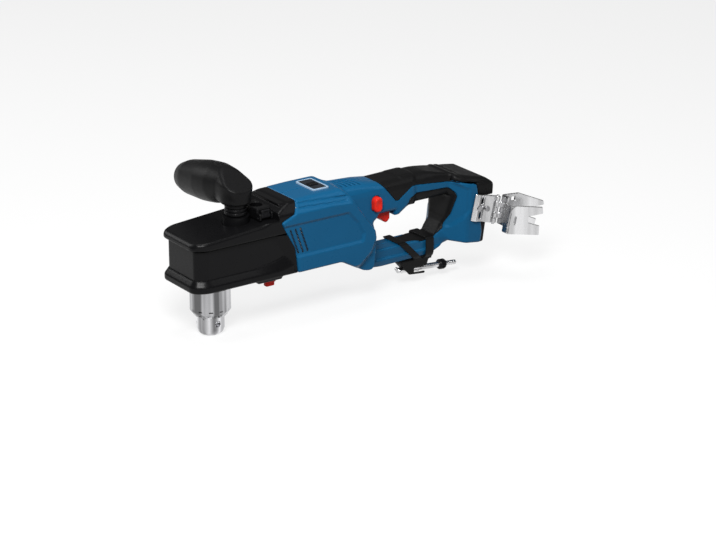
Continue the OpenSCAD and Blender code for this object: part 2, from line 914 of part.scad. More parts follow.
// Side handle: the swivel axis, the pedestal under it and the grip's axis
swivel_x = 30;
swivel_y = -4;
mount_r = 14;
mount_z0 = head_top + 2;
mount_z1 = head_top + 12;
swivel_r = 6;
handle_z = head_top + handle_rise;
neck_r = 11.5;
clamp_x0 = swivel_x + mount_r + gap;
clamp_x1 = clamp_x0 + 17;
clamp_y0 = -21;
clamp_y1 = 9;
clamp_z0 = head_top + 7;
clamp_z1 = head_top + 19;

module head_cover() {
    color("#232325") difference() {
        intersection() {
            side(cover_profile, body_w);
            union() {
                upward(head_plan, flange_z + 2.5, far);
                upward(inset(head_plan, 2.5), flange_z, far);
            }
            along(inset(body_section, 0.5), -far, far);
        }
        side(inset(body_profile, -gap), body_w);
        upper_block(seat);
        bar_z(0, 0, flange_z - over, top_shaft_r + gap, 2 + over);
        bar_z(swivel_x, swivel_y, mount_z0, mount_r + seat, far);
        block([clamp_x0 - seat, -far, clamp_z0], [clamp_x1 + seat, clamp_y1 + seat, far]);
        along(inset(body_section, wall), plate_x - seat, far);
    }
    color("#232325") difference() {
        bar_z(0, 0, flange_z - bush_h, bush_r + 2.5, bush_h + 1);
        bar_z(0, 0, 0, bush_r + seat, flange_z);
        bar_z(0, 0, 0, top_shaft_r + gap, flange_z + 2);
    }
}

// Layshaft and its gears
module layshaft() {
    x0 = crown_r - crown_face / 2 - 0.5;
    color("slategray") {
        bar_x(x0, 0, shaft_z, shaft_r, plate_x + plate_t - x0);
        spur_x(bevel_teeth, bevel_m, x0, shaft_z, crown_face + 1, shaft_r - over, -90);
    }
}

module low_gear() {
    phase = 90 + 180 / low_teeth;
    color("darkgray") spur_x(low_teeth, spur_m, low_x, shaft_z, spur_w, shaft_r + fit, phase);
}

module high_gear() {
    phase = 90 + 180 / high_teeth;
    color("darkgray") spur_x(high_teeth, spur_m, high_x, shaft_z, spur_w, shaft_r + fit, phase);
}

module dog_ring() {
    color("gray") difference() {
        bar_x(dog_x, 0, shaft_z, 7.4, dog_w);
        bar_x(dog_x - over, 0, shaft_z, shaft_r + fit, dog_w + 2 * over);
        difference() {
            bar_x(dog_x + 1.4, 0, shaft_z, 8, dog_w - 2.8);
            bar_x(dog_x, 0, shaft_z, 6, dog_w);
        }
    }
}

module shift_fork() {
    fork_x0 = dog_x + 1.4 + gap;
    fork_x1 = dog_x + dog_w - 1.4 - gap;
    color("darkgray") difference() {
        union() {
            block([fork_x0, -12, fork_z], [fork_x1, 12, shaft_z]);
            block([selector_x - 6, selector_y - 3, fork_z], [fork_x1, -9, fork_z + 3]);
        }
        bar_x(fork_x0 - over, 0, shaft_z, 6 + gap, fork_x1 - fork_x0 + 2 * over);
        block([selector_x - pin_throw - slot_half, selector_y - far, fork_z - over],
              [selector_x - pin_throw + slot_half, selector_y + pin_throw + slot_half, fork_z + 3 + over]);
    }
}

module gear_selector() {
    color("#d8251d") {
        bar_z(selector_x, selector_y, head_z - 6, selector_d / 2, 2.6);
        block([selector_x - 5.2, selector_y - 3, head_z - 11.4],
              [selector_x + 5.2, selector_y + 3, head_z - 5.8]);
        bar_z(selector_x, selector_y, head_z - 4, 3, fork_z - head_z + 3.2);
        bar_z(selector_x - pin_throw, selector_y, fork_z - 0.9, pin_r, 3.4);
    }
}

module layshaft_bearing() {
    color("lightgray") translate([lay_bearing_x, 0, shaft_z]) rotate([0, 90, 0])
        ball_bearing(shaft_r + fit, lay_bearing_r, lay_bearing_w);
}

module layshaft_bush() {
    color("darkgoldenrod") difference() {
        bar_x(plate_x + seat, 0, shaft_z, lay_bush_r, plate_t - seat);
        bar_x(plate_x - over, 0, shaft_z, shaft_r + fit, far);
    }
}

module gearbox_plate() {
    color("darkgray") difference() {
        union() {
            intersection() {
                along(inset(body_section, wall + seat), plate_x, plate_x + plate_t);
                block([0, -far, head_z + wall + seat], [far, far, body_z1 - 8]);
            }
            bar_x(plate_x, 0, motor_z, motor_bearing_r + 2.5, motor_bearing_x - plate_x + motor_bearing_w);
        }
        bar_x(plate_x - over, 0, shaft_z, lay_bush_r + seat, plate_t + over);
        bar_x(motor_bearing_x, 0, motor_z, motor_bearing_r + seat, far);
        bar_x(plate_x - over, 0, motor_z, shaft_r + gap, far);
    }
}

// Motor
rotor_x0 = low_x - 2;
rotor_x1 = stator_x1 + bracket_w - 1;
rotor_r = 0.52 * stator_r;

module rotor() {
    color("gray") {
        bar_x(rotor_x0, 0, motor_z, shaft_r - 0.5, motor_bearing_x - rotor_x0);
        bar_x(motor_bearing_x, 0, motor_z, shaft_r, rotor_x1 - motor_bearing_x);
        bar_x(stator_x + 4, 0, motor_z, rotor_r, stator_len - 8);
        spur_x(low_pinion_teeth, spur_m, low_x, motor_z, spur_w, shaft_r - over, -90);
        spur_x(high_teeth, spur_m, high_x, motor_z, spur_w, shaft_r - over, -90);
    }
}

fan_blades = 9;

module fan() {
    color("#303030") difference() {
        union() {
            bar_x(fan_x, 0, motor_z, fan_r, 1.6);
            bar_x(fan_x, 0, motor_z, shaft_r + 4, fan_w);
            for (i = [0:fan_blades - 1])
                translate([0, 0, motor_z]) rotate([360 * i / fan_blades, 0, 0])
                    block([fan_x, -0.8, shaft_r + 3], [fan_x + fan_w, 0.8, fan_r]);
        }
        bar_x(fan_x - over, 0, motor_z, shaft_r + fit, far);
    }
}

stator_slots = 6;

module stator() {
    color("#8a4b20") difference() {
        bar_x(stator_x, 0, motor_z, stator_r, stator_len);
        bar_x(stator_x - over, 0, motor_z, rotor_r + gap, far);
        for (i = [0:stator_slots - 1])
            translate([0, 0, motor_z]) rotate([360 * i / stator_slots, 0, 0])
                bar_x(stator_x - over, 0, (rotor_r + stator_r) / 2, 0.16 * stator_r, far);
    }
}

module motor_bearings() {
    color("lightgray") for (x = [motor_bearing_x + seat, stator_x1 + 2])
        translate([x, 0, motor_z]) rotate([0, 90, 0])
            ball_bearing(shaft_r + fit, motor_bearing_r, motor_bearing_w - seat);
}

module motor_bracket() {
    color("#3a3a3a") difference() {
        bar_x(stator_x1 + seat, 0, motor_z, bracket_r, bracket_w);
        bar_x(stator_x1 - over, 0, motor_z, motor_bearing_r + seat, bracket_w - 1 + over);
        bar_x(stator_x1 - over, 0, motor_z, shaft_r + 2, far);
        difference() {
            bar_x(stator_x1 - over, 0, motor_z, bracket_r - 3, 6);
            bar_x(stator_x1 - 2 * over, 0, motor_z, motor_bearing_r + 3, far);
        }
    }
}

// Electronics and controls
module electronics_module() {
    color("#2b2b2b") block([body_x1 - 28, -27, belly_z + 13.9], [body_x1 - 4, 27, belly_z + 32]);
}

module switch_module() {
    color("#1b1b1b") difference() {
        block([trigger_x0 - 1, -13, switch_z], [trigger_x1 + 12, 13, grip_z1 - wall - 3.2]);
        bar_z((trigger_x0 + trigger_x1) / 2, 0, switch_z - over, 2.6, trigger_travel + 3);
    }
}

module trigger() {
    mid_x = (trigger_x0 + trigger_x1) / 2;
    flange_z0 = trigger_z + wall + gap;
    color("#d8251d") {
        side([
            [trigger_x0 + 0.5, trigger_z - 6.5, 2],
            [trigger_x0 + 7, trigger_z - 9.5, 12],
            [trigger_x1 - 4.5, trigger_z - 15, 3],
            [trigger_x1, trigger_z - 10, 3],
            [trigger_x1, flange_z0 + 1, 0],
            [trigger_x0, flange_z0 + 1, 0],
            [trigger_x0, trigger_z - 4, 1]
        ], trigger_w / 2);
        block([trigger_x0, -trigger_w / 2 - trigger_flange, flange_z0],
              [trigger_x1, trigger_w / 2 + trigger_flange, flange_z0 + 2]);
        bar_z(mid_x, 0, flange_z0, 2, switch_z - flange_z0 + 1);
    }
}

// A coil spring with its axis along Z, as one unbroken six-sided tube
spring_coils = 3;
spring_wire = 0.5;
spring_r = 4;
spring_sides = 6;
spring_rings = 8 * spring_coils;
spring_z0 = trigger_z + wall + gap + 2 + spring_wire + seat;
spring_rise = switch_z - seat - spring_wire - spring_z0;
echo("least gap between the spring's coils", spring_rise / spring_coils - 2 * spring_wire);

module trigger_spring() {
    points = [for (i = [0:spring_rings]) for (k = [0:spring_sides - 1])
        let (
            a = 360 * spring_coils * i / spring_rings,
            b = 360 * k / spring_sides,
            q = spring_r + spring_wire * cos(b)
        )
        [q * cos(a), q * sin(a), spring_rise * i / spring_rings + spring_wire * sin(b)]];
    sides = [for (i = [0:spring_rings - 1]) for (k = [0:spring_sides - 1])
        let (a = i * spring_sides + k, b = i * spring_sides + (k + 1) % spring_sides)
        each [[a, a + spring_sides, b], [b, a + spring_sides, b + spring_sides]]];
    last = spring_rings * spring_sides;
    caps = [for (k = [1:spring_sides - 2]) each [[0, k, k + 1], [last, last + k + 1, last + k]]];
    color("silver") translate([(trigger_x0 + trigger_x1) / 2, 0, spring_z0])
        polyhedron(points = points, faces = concat(sides, caps));
}

module direction_switch() {
    color("#d8251d") direction_bar(0, grip_w / 2 + 2 + switch_out);
}

button_len = 10;
button_w = 8;
button_travel = 0.8;

module button_block(d, z0, z1) {
    mid_x = panel_x + panel_len / 2;
    block([mid_x - button_len / 2 - d, -button_w / 2 - d, z0],
          [mid_x + button_len / 2 + d, button_w / 2 + d, z1]);
}

module control_panel() {
    color("#b9bec4") difference() {
        panel_plate(0, body_z1 - panel_t, body_z1 + 0.4);
        button_block(0.3, 0, far);
    }
}

module mode_button() {
    color("#202225") button_block(0, body_z1 - panel_t + button_travel + 0.3, body_z1 + 1.2);
}

// Rubber on the D-handle
module grip_rubber() {
    color("#1e1e20") grip_layer(0, rubber_t, 0);
}

module bar_rubber() {
    color("#1e1e20") bar_layer(0, rubber_t, 0);
}

// Rear end: bumper over the foot's top, and the rail that a battery slides onto
bumper_profile = [
    [window_x1 + 5, grip_z1 - 14, 0],
    [foot_x1 - 5, grip_z1 - 21, 0],
    [foot_x1 - 3, grip_z0 - 4, 0],
    [foot_x1 + 18, grip_z0 - 4, 2],
    [foot_x1 + 19, grip_z1 - 22, 6],
    [foot_x1 + 10, grip_z1 - 15.5, 8],
    [foot_x1 - 12, grip_z1 - 11, 10],
    [window_x1 + 7, grip_z1 - 7, 2]
];
rail_profile = [
    [foot_x1 - 3, grip_z0 - 4.5, 0],
    [foot_x1 + 3, foot_z + 9, 0],
    [foot_x1 + 1, foot_z - 3, 0],
    [foot_x1 + 5.5, foot_z - 3, 2],
    [foot_x1 + 13, grip_z0 - 4.5, 0]
];
rail_half = foot_w / 2 - 4;

module bumper_shape(d) {
    intersection() {
        side(inset(bumper_profile, d), body_w);
        upward(inset(foot_plan, d), 0, far);
        along(inset(rear_section, d), border_x, rail_x1 + far);
    }
}

module bumper_recess() {
    bumper_shape(-seat);
}

module rail_recess() {
    side(inset(rail_profile, -seat), body_w);
}

module rear_bumper() {
    color("#1e1e20") difference() {
        bumper_shape(0);
        side(inset(rail_profile, -seat), body_w);
    }
}

rail_slot = 3;

module battery_rail() {
    color("#202225") difference() {
        side(rail_profile, rail_half);
        for (s = [-1, 1])
            side_slot(s);
        for (i = [-1:1])
            block([foot_x1 + 3, 10 * i - 1.2, foot_z + 14], [far, 10 * i + 1.2, foot_z + 34]);
    }
}

module side_slot(s) {
    translate([foot_x1 + 6, s * (rail_half - 4), foot_z - 4])
        rotate([0, 9, 0])
            block([-1, -rail_slot / 2, -over], [far, rail_slot / 2, 44]);
}

module battery_terminals() {
    color("goldenrod") for (i = [-1:1])
        block([foot_x1 + 3, 10 * i - 0.5, foot_z + 16], [foot_x1 + 7.5, 10 * i + 0.5, foot_z + 32]);
}

// Side handle
module handle_place() {
    translate([swivel_x, swivel_y, handle_z]) rotate([-90 - handle_droop, 0, 0]) children();
}

module handle_mount() {
    color("#1c1c1e") {
        bar_z(swivel_x, swivel_y, mount_z0 + seat, mount_r, mount_z1 - mount_z0 - seat);
        bar_z(swivel_x, swivel_y, mount_z1 - over, swivel_r, handle_z - 12 - mount_z1 + over);
    }
}

core_bar_r = 7;
core_bar_len = handle_len - 12;
grip_back = 13;
elbow_r = 16;
elbow_h = 16;

module handle_neck(d) {
    bar_z(swivel_x, swivel_y, mount_z1 + gap, neck_r + d, handle_z - mount_z1 - gap);
}

module handle_core() {
    color("#1c1c1e") difference() {
        union() {
            handle_neck(0);
            handle_place() translate([0, 0, -neck_r]) cylinder(r = core_bar_r, h = core_bar_len);
        }
        bar_z(swivel_x, swivel_y, 0, swivel_r + fit, handle_z - 11.5);
    }
}

module handle_grip() {
    color("#232325") difference() {
        union() {
            handle_place() translate([0, 0, -grip_back]) rotate_extrude()
                polygon([
                    [0, 0],
                    [handle_r - 12, 0],
                    [handle_r - 10, 3],
                    [handle_r - 7.5, handle_len * 0.12],
                    [handle_r - 3.5, handle_len * 0.23],
                    [handle_r - 0.5, handle_len * 0.36],
                    [handle_r, handle_len * 0.45],
                    [handle_r, handle_len * 0.55],
                    [handle_r - 3, handle_len * 0.82],
                    [handle_r - 8, handle_len - 5],
                    [handle_r - 14, handle_len],
                    [0, handle_len]
                ]);
            bar_z(swivel_x, swivel_y, handle_z - 2 - elbow_h, elbow_r, elbow_h);
        }
        handle_neck(seat);
        handle_place() translate([0, 0, -neck_r - over])
            cylinder(r = core_bar_r + seat, h = core_bar_len + over + seat);
    }
}

lever_y = clamp_y0 - 2.6;
lever_t = 3;
lever_pin_r = 1.5;
lever_z = clamp_z0 + 4;

module clamp_block() {
    color("#1c1c1e") difference() {
        union() {
            block([clamp_x0, clamp_y0, clamp_z0 + seat], [clamp_x1, clamp_y1, clamp_z1]);
            for (x = [clamp_x0, clamp_x1 - 3])
                block([x, lever_y - 3, clamp_z0 + seat], [x + 3, clamp_y0 + over, clamp_z0 + 8]);
        }
        bar_z((clamp_x0 + clamp_x1) / 2, -6, clamp_z0 + 4, 6.5, far);
        bar_x(clamp_x0 - over, lever_y, lever_z, lever_pin_r + fit, far);
    }
}

module clamp_lever() {
    x0 = clamp_x0 + 3 + gap;
    x1 = clamp_x1 - 3 - gap;
    color("#2b2b2d") {
        block([x0, lever_y - lever_t / 2, lever_z], [x1, lever_y + lever_t / 2, clamp_z1 - 1]);
        bar_x(x0, lever_y, lever_z, 2.2, x1 - x0);
        bar_x(clamp_x0 + 0.2, lever_y, lever_z, lever_pin_r, clamp_x1 - clamp_x0 - 0.4);
    }
}

// Rafter hook: a bracket on the foot's near side, a hinge pin and a folded sheet-steel claw
hook_tilt = 13;
hinge_x = foot_x1 + 16;
hinge_z = foot_z + 33;
hinge_y = -foot_w / 2 - 4;
hook_h = 30;
knuckle_r = 3.2;
hook_pin_r = 1.6;
knuckles = 5;
knuckle_h = hook_h / knuckles;

module hook_place() {
    translate([hinge_x, hinge_y, hinge_z]) rotate([0, hook_tilt, 0]) children();
}

module knuckle_row(first) {
    for (i = [first:2:knuckles - 1])
        translate([0, 0, -hook_h / 2 + i * knuckle_h + gap / 2])
            cylinder(r = knuckle_r, h = knuckle_h - gap);
}

module hook_bracket() {
    plate_len = 28;
    plate_y = -foot_w / 2 - hinge_y - seat;
    color("silver") hook_place() difference() {
        union() {
            block([-plate_len, plate_y - hook_t, -hook_h / 2], [-knuckle_r - gap, plate_y, hook_h / 2]);
            for (i = [0:2:knuckles - 1])
                block([-knuckle_r - 2, 0.4, -hook_h / 2 + i * knuckle_h + gap / 2],
                      [0, 0.4 + hook_t, -hook_h / 2 + (i + 1) * knuckle_h - gap / 2]);
            knuckle_row(0);
        }
        translate([0, 0, -hook_h]) cylinder(r = hook_pin_r + fit, h = 2 * hook_h);
        for (z = [-8, 8])
            block([-19, -far, z - 3], [-16.4, far, z + 3]);
        bar_y(-plate_len + 6, -far / 2, 0, screw_r + seat, far);
        bar_y(-11, -far / 2, 0, screw_r + seat, far);
    }
}

module hook_pin() {
    color("gray") hook_place() translate([0, 0, -hook_h / 2 - 1]) cylinder(r = hook_pin_r, h = hook_h + 2);
}

module hook_screws() {
    color("dimgray") hook_place() for (x = [-22, -11]) {
        bar_y(x, -foot_w / 2 - hinge_y - hook_t - 2.2, 0, screw_head_r - 0.6, 1.8);
        bar_y(x, -foot_w / 2 - hinge_y - hook_t - 0.6, 0, screw_r, hook_t + 0.4);
    }
}

// The hook's two claws from the side, behind the web that joins them
web_x = knuckle_r + gap;
far_claw = [
    [web_x, -hook_h / 2, 2],
    [hook_len - 9, -hook_h / 2, 1],
    [hook_len - 8, -8, 1],
    [hook_len - 27, -4, 2],
    [hook_len - 27, 2, 2],
    [hook_len - 1, 7.5, 1],
    [hook_len - 3, 12.5, 1],
    [26, 20, 4],
    [web_x, 17, 3]
];
near_claw = [
    [web_x, -22, 2],
    [hook_len - 16, -22, 1],
    [hook_len - 18, -11, 1],
    [hook_len - 35, -8, 2],
    [hook_len - 37, -2, 2],
    [hook_len - 16, 2, 1],
    [hook_len - 18.5, 9.7, 1],
    [web_x, 10, 5]
];

module claw(p, y0) {
    translate([0, y0 + hook_t, 0]) rotate([90, 0, 0]) linear_extrude(hook_t) polygon(rounded(p));
}

module rafter_hook() {
    arm_y = -hook_t - 0.4;
    near_y = arm_y - hook_gap - hook_t;
    color("silver") hook_place() difference() {
        union() {
            for (i = [1:2:knuckles - 1])
                block([-0.4, arm_y, -hook_h / 2 + i * knuckle_h + gap / 2],
                      [knuckle_r + 2, arm_y + hook_t, -hook_h / 2 + (i + 1) * knuckle_h - gap / 2]);
            claw(far_claw, arm_y);
            claw(near_claw, near_y);
            block([web_x, near_y, -hook_h / 2], [web_x + hook_t, arm_y + hook_t, 5]);
            knuckle_row(1);
        }
        translate([0, 0, -hook_h]) cylinder(r = hook_pin_r + fit, h = 2 * hook_h);
        block([web_x + 7, near_y - over, -11], [web_x + 10, near_y + hook_t + over, -2]);
    }
}

// Chuck key under the lower bar, in a rubber holder with two straps
key_y = -6;
key_z = bar_z0 - 10.4;
key_pitch = 4.7;
holder_x0 = window_x0 + 41;
key_x0 = holder_x0 - 5;
key_gear_x = key_len - 24;
key_gear_w = 9;
key_gear_r = 5.6;
strap_t = 2;
// Each strap's place at the bar's top, its width and its lean
straps = [[holder_x0 - 8, 7.5, 44], [holder_x0 + 26, 11, 0]];

module bar_band(d, x0, x1) {
    along(inset(rect(-bar_w / 2, bar_z0, bar_w / 2, bar_z1, 7, 0), -d), x0, x1);
}

// A strap round the bar that leans rearward on its way down
module strap(s) {
    intersection() {
        bar_band(strap_t + gap, s[0] - 2 * s[1], s[0] + 6 * s[1]);
        translate([s[0], 0, bar_z1]) rotate([0, -s[2], 0])
            block([0, -far, -far / 2], [s[1], far, far / 2]);
    }
}

// The key's own frame: along its shank from the handle end, which sits higher than the tip
module key_place() {
    translate([key_x0, key_y, key_z]) rotate([0, key_pitch, 0]) children();
}

// The holder's saddle from the side: a plate under the bar and a tapered body round the shank
saddle_w = 12;
saddle_z1 = bar_z0 - strap_t - 1;
saddle_profile = [
    [holder_x0 - 4, bar_z0, 0], [holder_x0 - 4, saddle_z1, 0], [holder_x0 + 8, key_z - 6, 2],
    [holder_x0 + 28, key_z - 8, 2], [holder_x0 + 33, saddle_z1, 1], [holder_x0 + 37, saddle_z1, 0],
    [holder_x0 + 37, bar_z0, 0]
];

// The room the key takes up, open downward, and open to the side past the grip on the shank
module key_room() {
    shank_r = key_r + fit;
    key_place() {
        bar_x(-over, 0, 0, shank_r, far);
        block([-over, -shank_r, -far], [far, shank_r, 0]);
        block([19, -far, -shank_r], [far, -1, shank_r]);
    }
}

module key_holder() {
    color("#19191b") difference() {
        union() {
            for (s = straps) strap(s);
            translate([0, key_y, 0]) side(saddle_profile, saddle_w / 2);
        }
        bar_band(gap, holder_x0 - far / 2, holder_x0 + far / 2);
        key_room();
    }
}

module chuck_key() {
    color("silver") key_place() {
        bar_x(0, 0, 0, key_r, key_gear_x + over);
        bar_x(key_gear_x, 0, 0, key_gear_r, key_gear_w);
        bar_x(key_gear_x, 0, 0, key_hole_r - gap, key_len - key_gear_x);
        bar_y(3, -6, 0, 2, 12);
    }
}

chuck_body();
chuck_sleeve();
chuck_nut();
chuck_screw();
jaw_1();
jaw_2();
jaw_3();
spindle();
crown_gear();
spindle_bearing();
spindle_bush();
spindle_seal();
gear_case();
head_cover();
head_guard();
head_screws();
layshaft();
low_gear();
high_gear();
dog_ring();
shift_fork();
gear_selector();
layshaft_bearing();
layshaft_bush();
gearbox_plate();
rotor();
fan();
stator();
motor_bearings();
motor_bracket();
housing_left();
housing_right();
housing_screws();
control_panel();
mode_button();
electronics_module();
switch_module();
trigger();
trigger_spring();
direction_switch();
grip_rubber();
bar_rubber();
rear_bumper();
battery_rail();
battery_terminals();
handle_mount();
handle_core();
handle_grip();
clamp_block();
clamp_lever();
hook_bracket();
hook_pin();
rafter_hook();
hook_screws();
key_holder();
chuck_key();
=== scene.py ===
"""Looks of a cordless right angle drill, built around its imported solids.

X runs rearward from the spindle, Y to the far side and Z up, from the middle of the chuck's nose.
Shapes are written in millimetres as signed distances on a grid, and their surfaces are made in metres.
"""

import json
import math

import bpy
import numpy as np
from mathutils import Matrix, Vector


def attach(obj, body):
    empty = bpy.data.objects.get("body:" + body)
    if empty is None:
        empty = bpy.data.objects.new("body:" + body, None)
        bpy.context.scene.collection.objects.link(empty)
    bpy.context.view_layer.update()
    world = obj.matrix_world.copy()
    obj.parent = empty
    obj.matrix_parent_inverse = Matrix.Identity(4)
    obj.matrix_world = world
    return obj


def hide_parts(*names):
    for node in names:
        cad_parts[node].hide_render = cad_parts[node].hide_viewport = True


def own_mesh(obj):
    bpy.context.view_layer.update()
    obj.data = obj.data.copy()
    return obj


MM = 0.001

# Sizes shared by the pieces, in millimetres
HEAD_Z = 57
HEAD_TOP = 110
HEAD_HALF = 36.5
HEAD_FRONT = 38
FLANGE_Z = 101
WEB_Z0 = 60
WEB_INSET = 5
BORDER_X = 84
BODY_X1 = 184
BODY_Z1 = 134.5
BODY_HALF = 38
SHOULDER_Z = 121
TOP_HALF = 26
BELLY_Z = 37
WALL = 3
WINDOW_X0 = 194
WINDOW_X1 = 284
GRIP_Z0 = 94.5
GRIP_Z1 = 127
GRIP_HALF = 19
BAR_Z0 = 29
BAR_Z1 = 50.5
BAR_HALF = 14
FOOT_X1 = 320
FOOT_Z = 43
FOOT_HALF = 35
TRIGGER_X = 208
TRIGGER_X0 = 199
TRIGGER_X1 = 217
TRIGGER_HALF = 12
TRIGGER_Z = 92
CASE_X1 = 83.8
# Gaps: half the seam between the housing's halves, where a piece is seated, and round a moving piece
SEAM = 0.06
SEAT = 0.1
PLAY = 0.4


def unit(v):
    """A vector of length one."""
    return v / np.linalg.norm(v)


def rounded(outline, steps=6):
    """The points of an outline of (a, b, corner radius), with its corners rounded."""
    corners = [np.array(p[:2], float) for p in outline]
    points = []
    for i, p in enumerate(outline):
        u = unit(corners[i - 1] - corners[i])
        v = unit(corners[(i + 1) % len(corners)] - corners[i])
        half = math.acos(np.clip(u @ v, -1, 1)) / 2
        if p[2] < 0.2 or half > 1.55:
            points.append(corners[i])
            continue
        centre = corners[i] + unit(u + v) * p[2] / math.sin(half)
        start = unit(corners[i] + u * p[2] / math.tan(half) - centre)
        end = unit(corners[i] + v * p[2] / math.tan(half) - centre)
        sweep = math.pi - 2 * half
        for t in np.linspace(0, 1, steps + 1):
            arm = math.sin((1 - t) * sweep) * start + math.sin(t * sweep) * end
            points.append(centre + p[2] * arm / math.sin(sweep))
    return np.array(points)


def rect(a0, b0, a1, b1, r):
    """A rectangle between two corners, as an outline."""
    return [(a0, b0, r), (a1, b0, r), (a1, b1, r), (a0, b1, r)]


def mirrored(half, axis=0):
    """An outline made of one half of it and of that half with the sign of one axis changed."""
    sign = (-1, 1) if axis == 0 else (1, -1)
    return half + [(a * sign[0], b * sign[1], r) for a, b, r in reversed(half)]


def outline_distance(outline, a, b):
    """Signed distance of the points (a, b) from a closed outline, negative inside."""
    points = rounded(outline)
    best = np.full(np.broadcast(a, b).shape, np.inf, np.float32)
    inside = np.zeros(best.shape, bool)
    for p, q in zip(points, np.roll(points, -1, axis=0)):
        edge = q - p
        length_squared = edge @ edge
        if length_squared < 1e-12:
            continue
        t = np.clip(((a - p[0]) * edge[0] + (b - p[1]) * edge[1]) / length_squared, 0, 1)
        best = np.minimum(best, (a - p[0] - t * edge[0]) ** 2 + (b - p[1] - t * edge[1]) ** 2)
        if p[1] != q[1]:
            crosses = (p[1] > b) != (q[1] > b)
            inside ^= crosses & (a < p[0] + (b - p[1]) / edge[1] * edge[0])
    return np.where(inside, -1, 1) * np.sqrt(best)


def joined(a, b, r=0.0):
    """Two shapes together, with a fillet of radius r where they meet."""
    if r == 0:
        return np.minimum(a, b)
    corner = np.hypot(np.maximum(r - a, 0), np.maximum(r - b, 0))
    return np.maximum(r, np.minimum(a, b)) - corner


def common(a, b, r=0.0):
    """What two shapes share, with its edges rounded to radius r."""
    return -joined(-a, -b, r)


def cut(a, b, r=0.0):
    """Shape a without shape b, with the edges of the cut rounded to radius r."""
    return common(a, -b, r)


def slab(values, low, high):
    """The space between two parallel planes."""
    return np.maximum(low - values, values - high)


def ramp(values, low, high):
    """A smooth step from 0 at low to 1 at high."""
    t = np.clip((values - low) / (high - low), 0, 1)
    return t * t * (3 - 2 * t)


class Grid:
    """Sample points in a box, in millimetres, and the outlines drawn on its three planes."""

    def __init__(self, low, high, step):
        self.low = np.array(low, float)
        self.step = step
        counts = np.ceil((np.array(high, float) - self.low) / step).astype(int) + 1
        axes = [(self.low[i] + step * np.arange(n)).astype(np.float32) for i, n in enumerate(counts)]
        self.x = axes[0][:, None, None]
        self.y = axes[1][None, :, None]
        self.z = axes[2][None, None, :]

    def side(self, outline):
        """Distance from an outline of (x, z) points."""
        return outline_distance(outline, self.x, self.z)

    def front(self, outline):
        """Distance from an outline of (y, z) points."""
        return outline_distance(outline, self.y, self.z)

    def plan(self, outline):
        """Distance from an outline of (x, y) points."""
        return outline_distance(outline, self.x, self.y)

    def rod(self, axis, centre, r):
        """A round bar along an axis, 0 to 2, through a centre given on the other two axes."""
        u, v = [c for i, c in enumerate((self.x, self.y, self.z)) if i != axis]
        return np.hypot(u - centre[0], v - centre[1]) - r

    def block(self, low, high, r=0.0):
        """A box between two corners with its edges rounded."""
        shape = slab(self.x, low[0], high[0])
        shape = common(shape, slab(self.y, low[1], high[1]), r)
        return common(shape, slab(self.z, low[2], high[2]), r)


def surface_net(field):
    """The zero surface of a field, in grid steps: a vertex in each cell it crosses, and quads."""
    cells = np.array(field.shape) - 1
    sums = np.zeros((3, cells.prod()))
    count = np.zeros(cells.prod())
    rings = []
    for axis in range(3):
        low = np.moveaxis(np.moveaxis(field, axis, 0)[:-1], 0, axis)
        high = np.moveaxis(np.moveaxis(field, axis, 0)[1:], 0, axis)
        index = np.argwhere((low < 0) != (high < 0))
        at = tuple(index.T)
        point = index.astype(float)
        point[:, axis] += low[at] / (low[at] - high[at])
        u, v = (axis + 1) % 3, (axis + 2) % 3
        ring = []
        for du, dv in ((0, 0), (1, 0), (1, 1), (0, 1)):
            cell = index.copy()
            cell[:, u] -= du
            cell[:, v] -= dv
            flat = np.ravel_multi_index(tuple(cell.T), cells)
            ring.append(flat)
            count += np.bincount(flat, minlength=len(count))
            for k in range(3):
                sums[k] += np.bincount(flat, weights=point[:, k], minlength=len(count))
        ring = np.stack(ring, axis=1)
        enters = high[at] < 0
        ring[enters] = ring[enters][:, ::-1]
        rings.append(ring)
    used = np.flatnonzero(count)
    number = np.zeros(len(count), np.int64)
    number[used] = np.arange(len(used))
    return (sums[:, used] / count[used]).T, number[np.concatenate(rings)]


def sample(field, points):
    """The field between its samples, at points given in grid steps."""
    top = np.array(field.shape) - 2
    base = np.clip(np.floor(points).astype(int), 0, top)
    part = np.clip(points - base, 0, 1)
    value = np.zeros(len(points))
    for corner in np.ndindex(2, 2, 2):
        weight = np.prod(np.where(corner, part, 1 - part), axis=1)
        value += weight * field[tuple((base + corner).T)]
    return value


def field_normals(field, points):
    """Outward directions of the field's surface at points given in grid steps."""
    steps = np.eye(3) * 0.6
    slope = [sample(field, points + s) - sample(field, points - s) for s in steps]
    slope = np.stack(slope, axis=1)
    return slope / np.maximum(np.linalg.norm(slope, axis=1, keepdims=True), 1e-9)


def new_object(name, mesh):
    """An object for a mesh, linked into the scene."""
    obj = bpy.data.objects.new(name, mesh)
    bpy.context.scene.collection.objects.link(obj)
    return obj


def thinned(obj, keep):
    """Swap the object's mesh for one that keeps that share of its faces."""
    thin = obj.modifiers.new("thin", "DECIMATE")
    thin.ratio = keep
    graph = bpy.context.evaluated_depsgraph_get()
    mesh = bpy.data.meshes.new_from_object(obj.evaluated_get(graph))
    obj.modifiers.clear()
    old, obj.data = obj.data, mesh
    bpy.data.meshes.remove(old)


def place(obj, body, nodes, material):
    """Dress a piece, and let it ride on a body in place of its solids."""
    obj.data.materials.clear()
    obj.data.materials.append(material)
    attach(obj, body)
    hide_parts(*nodes)
    return obj


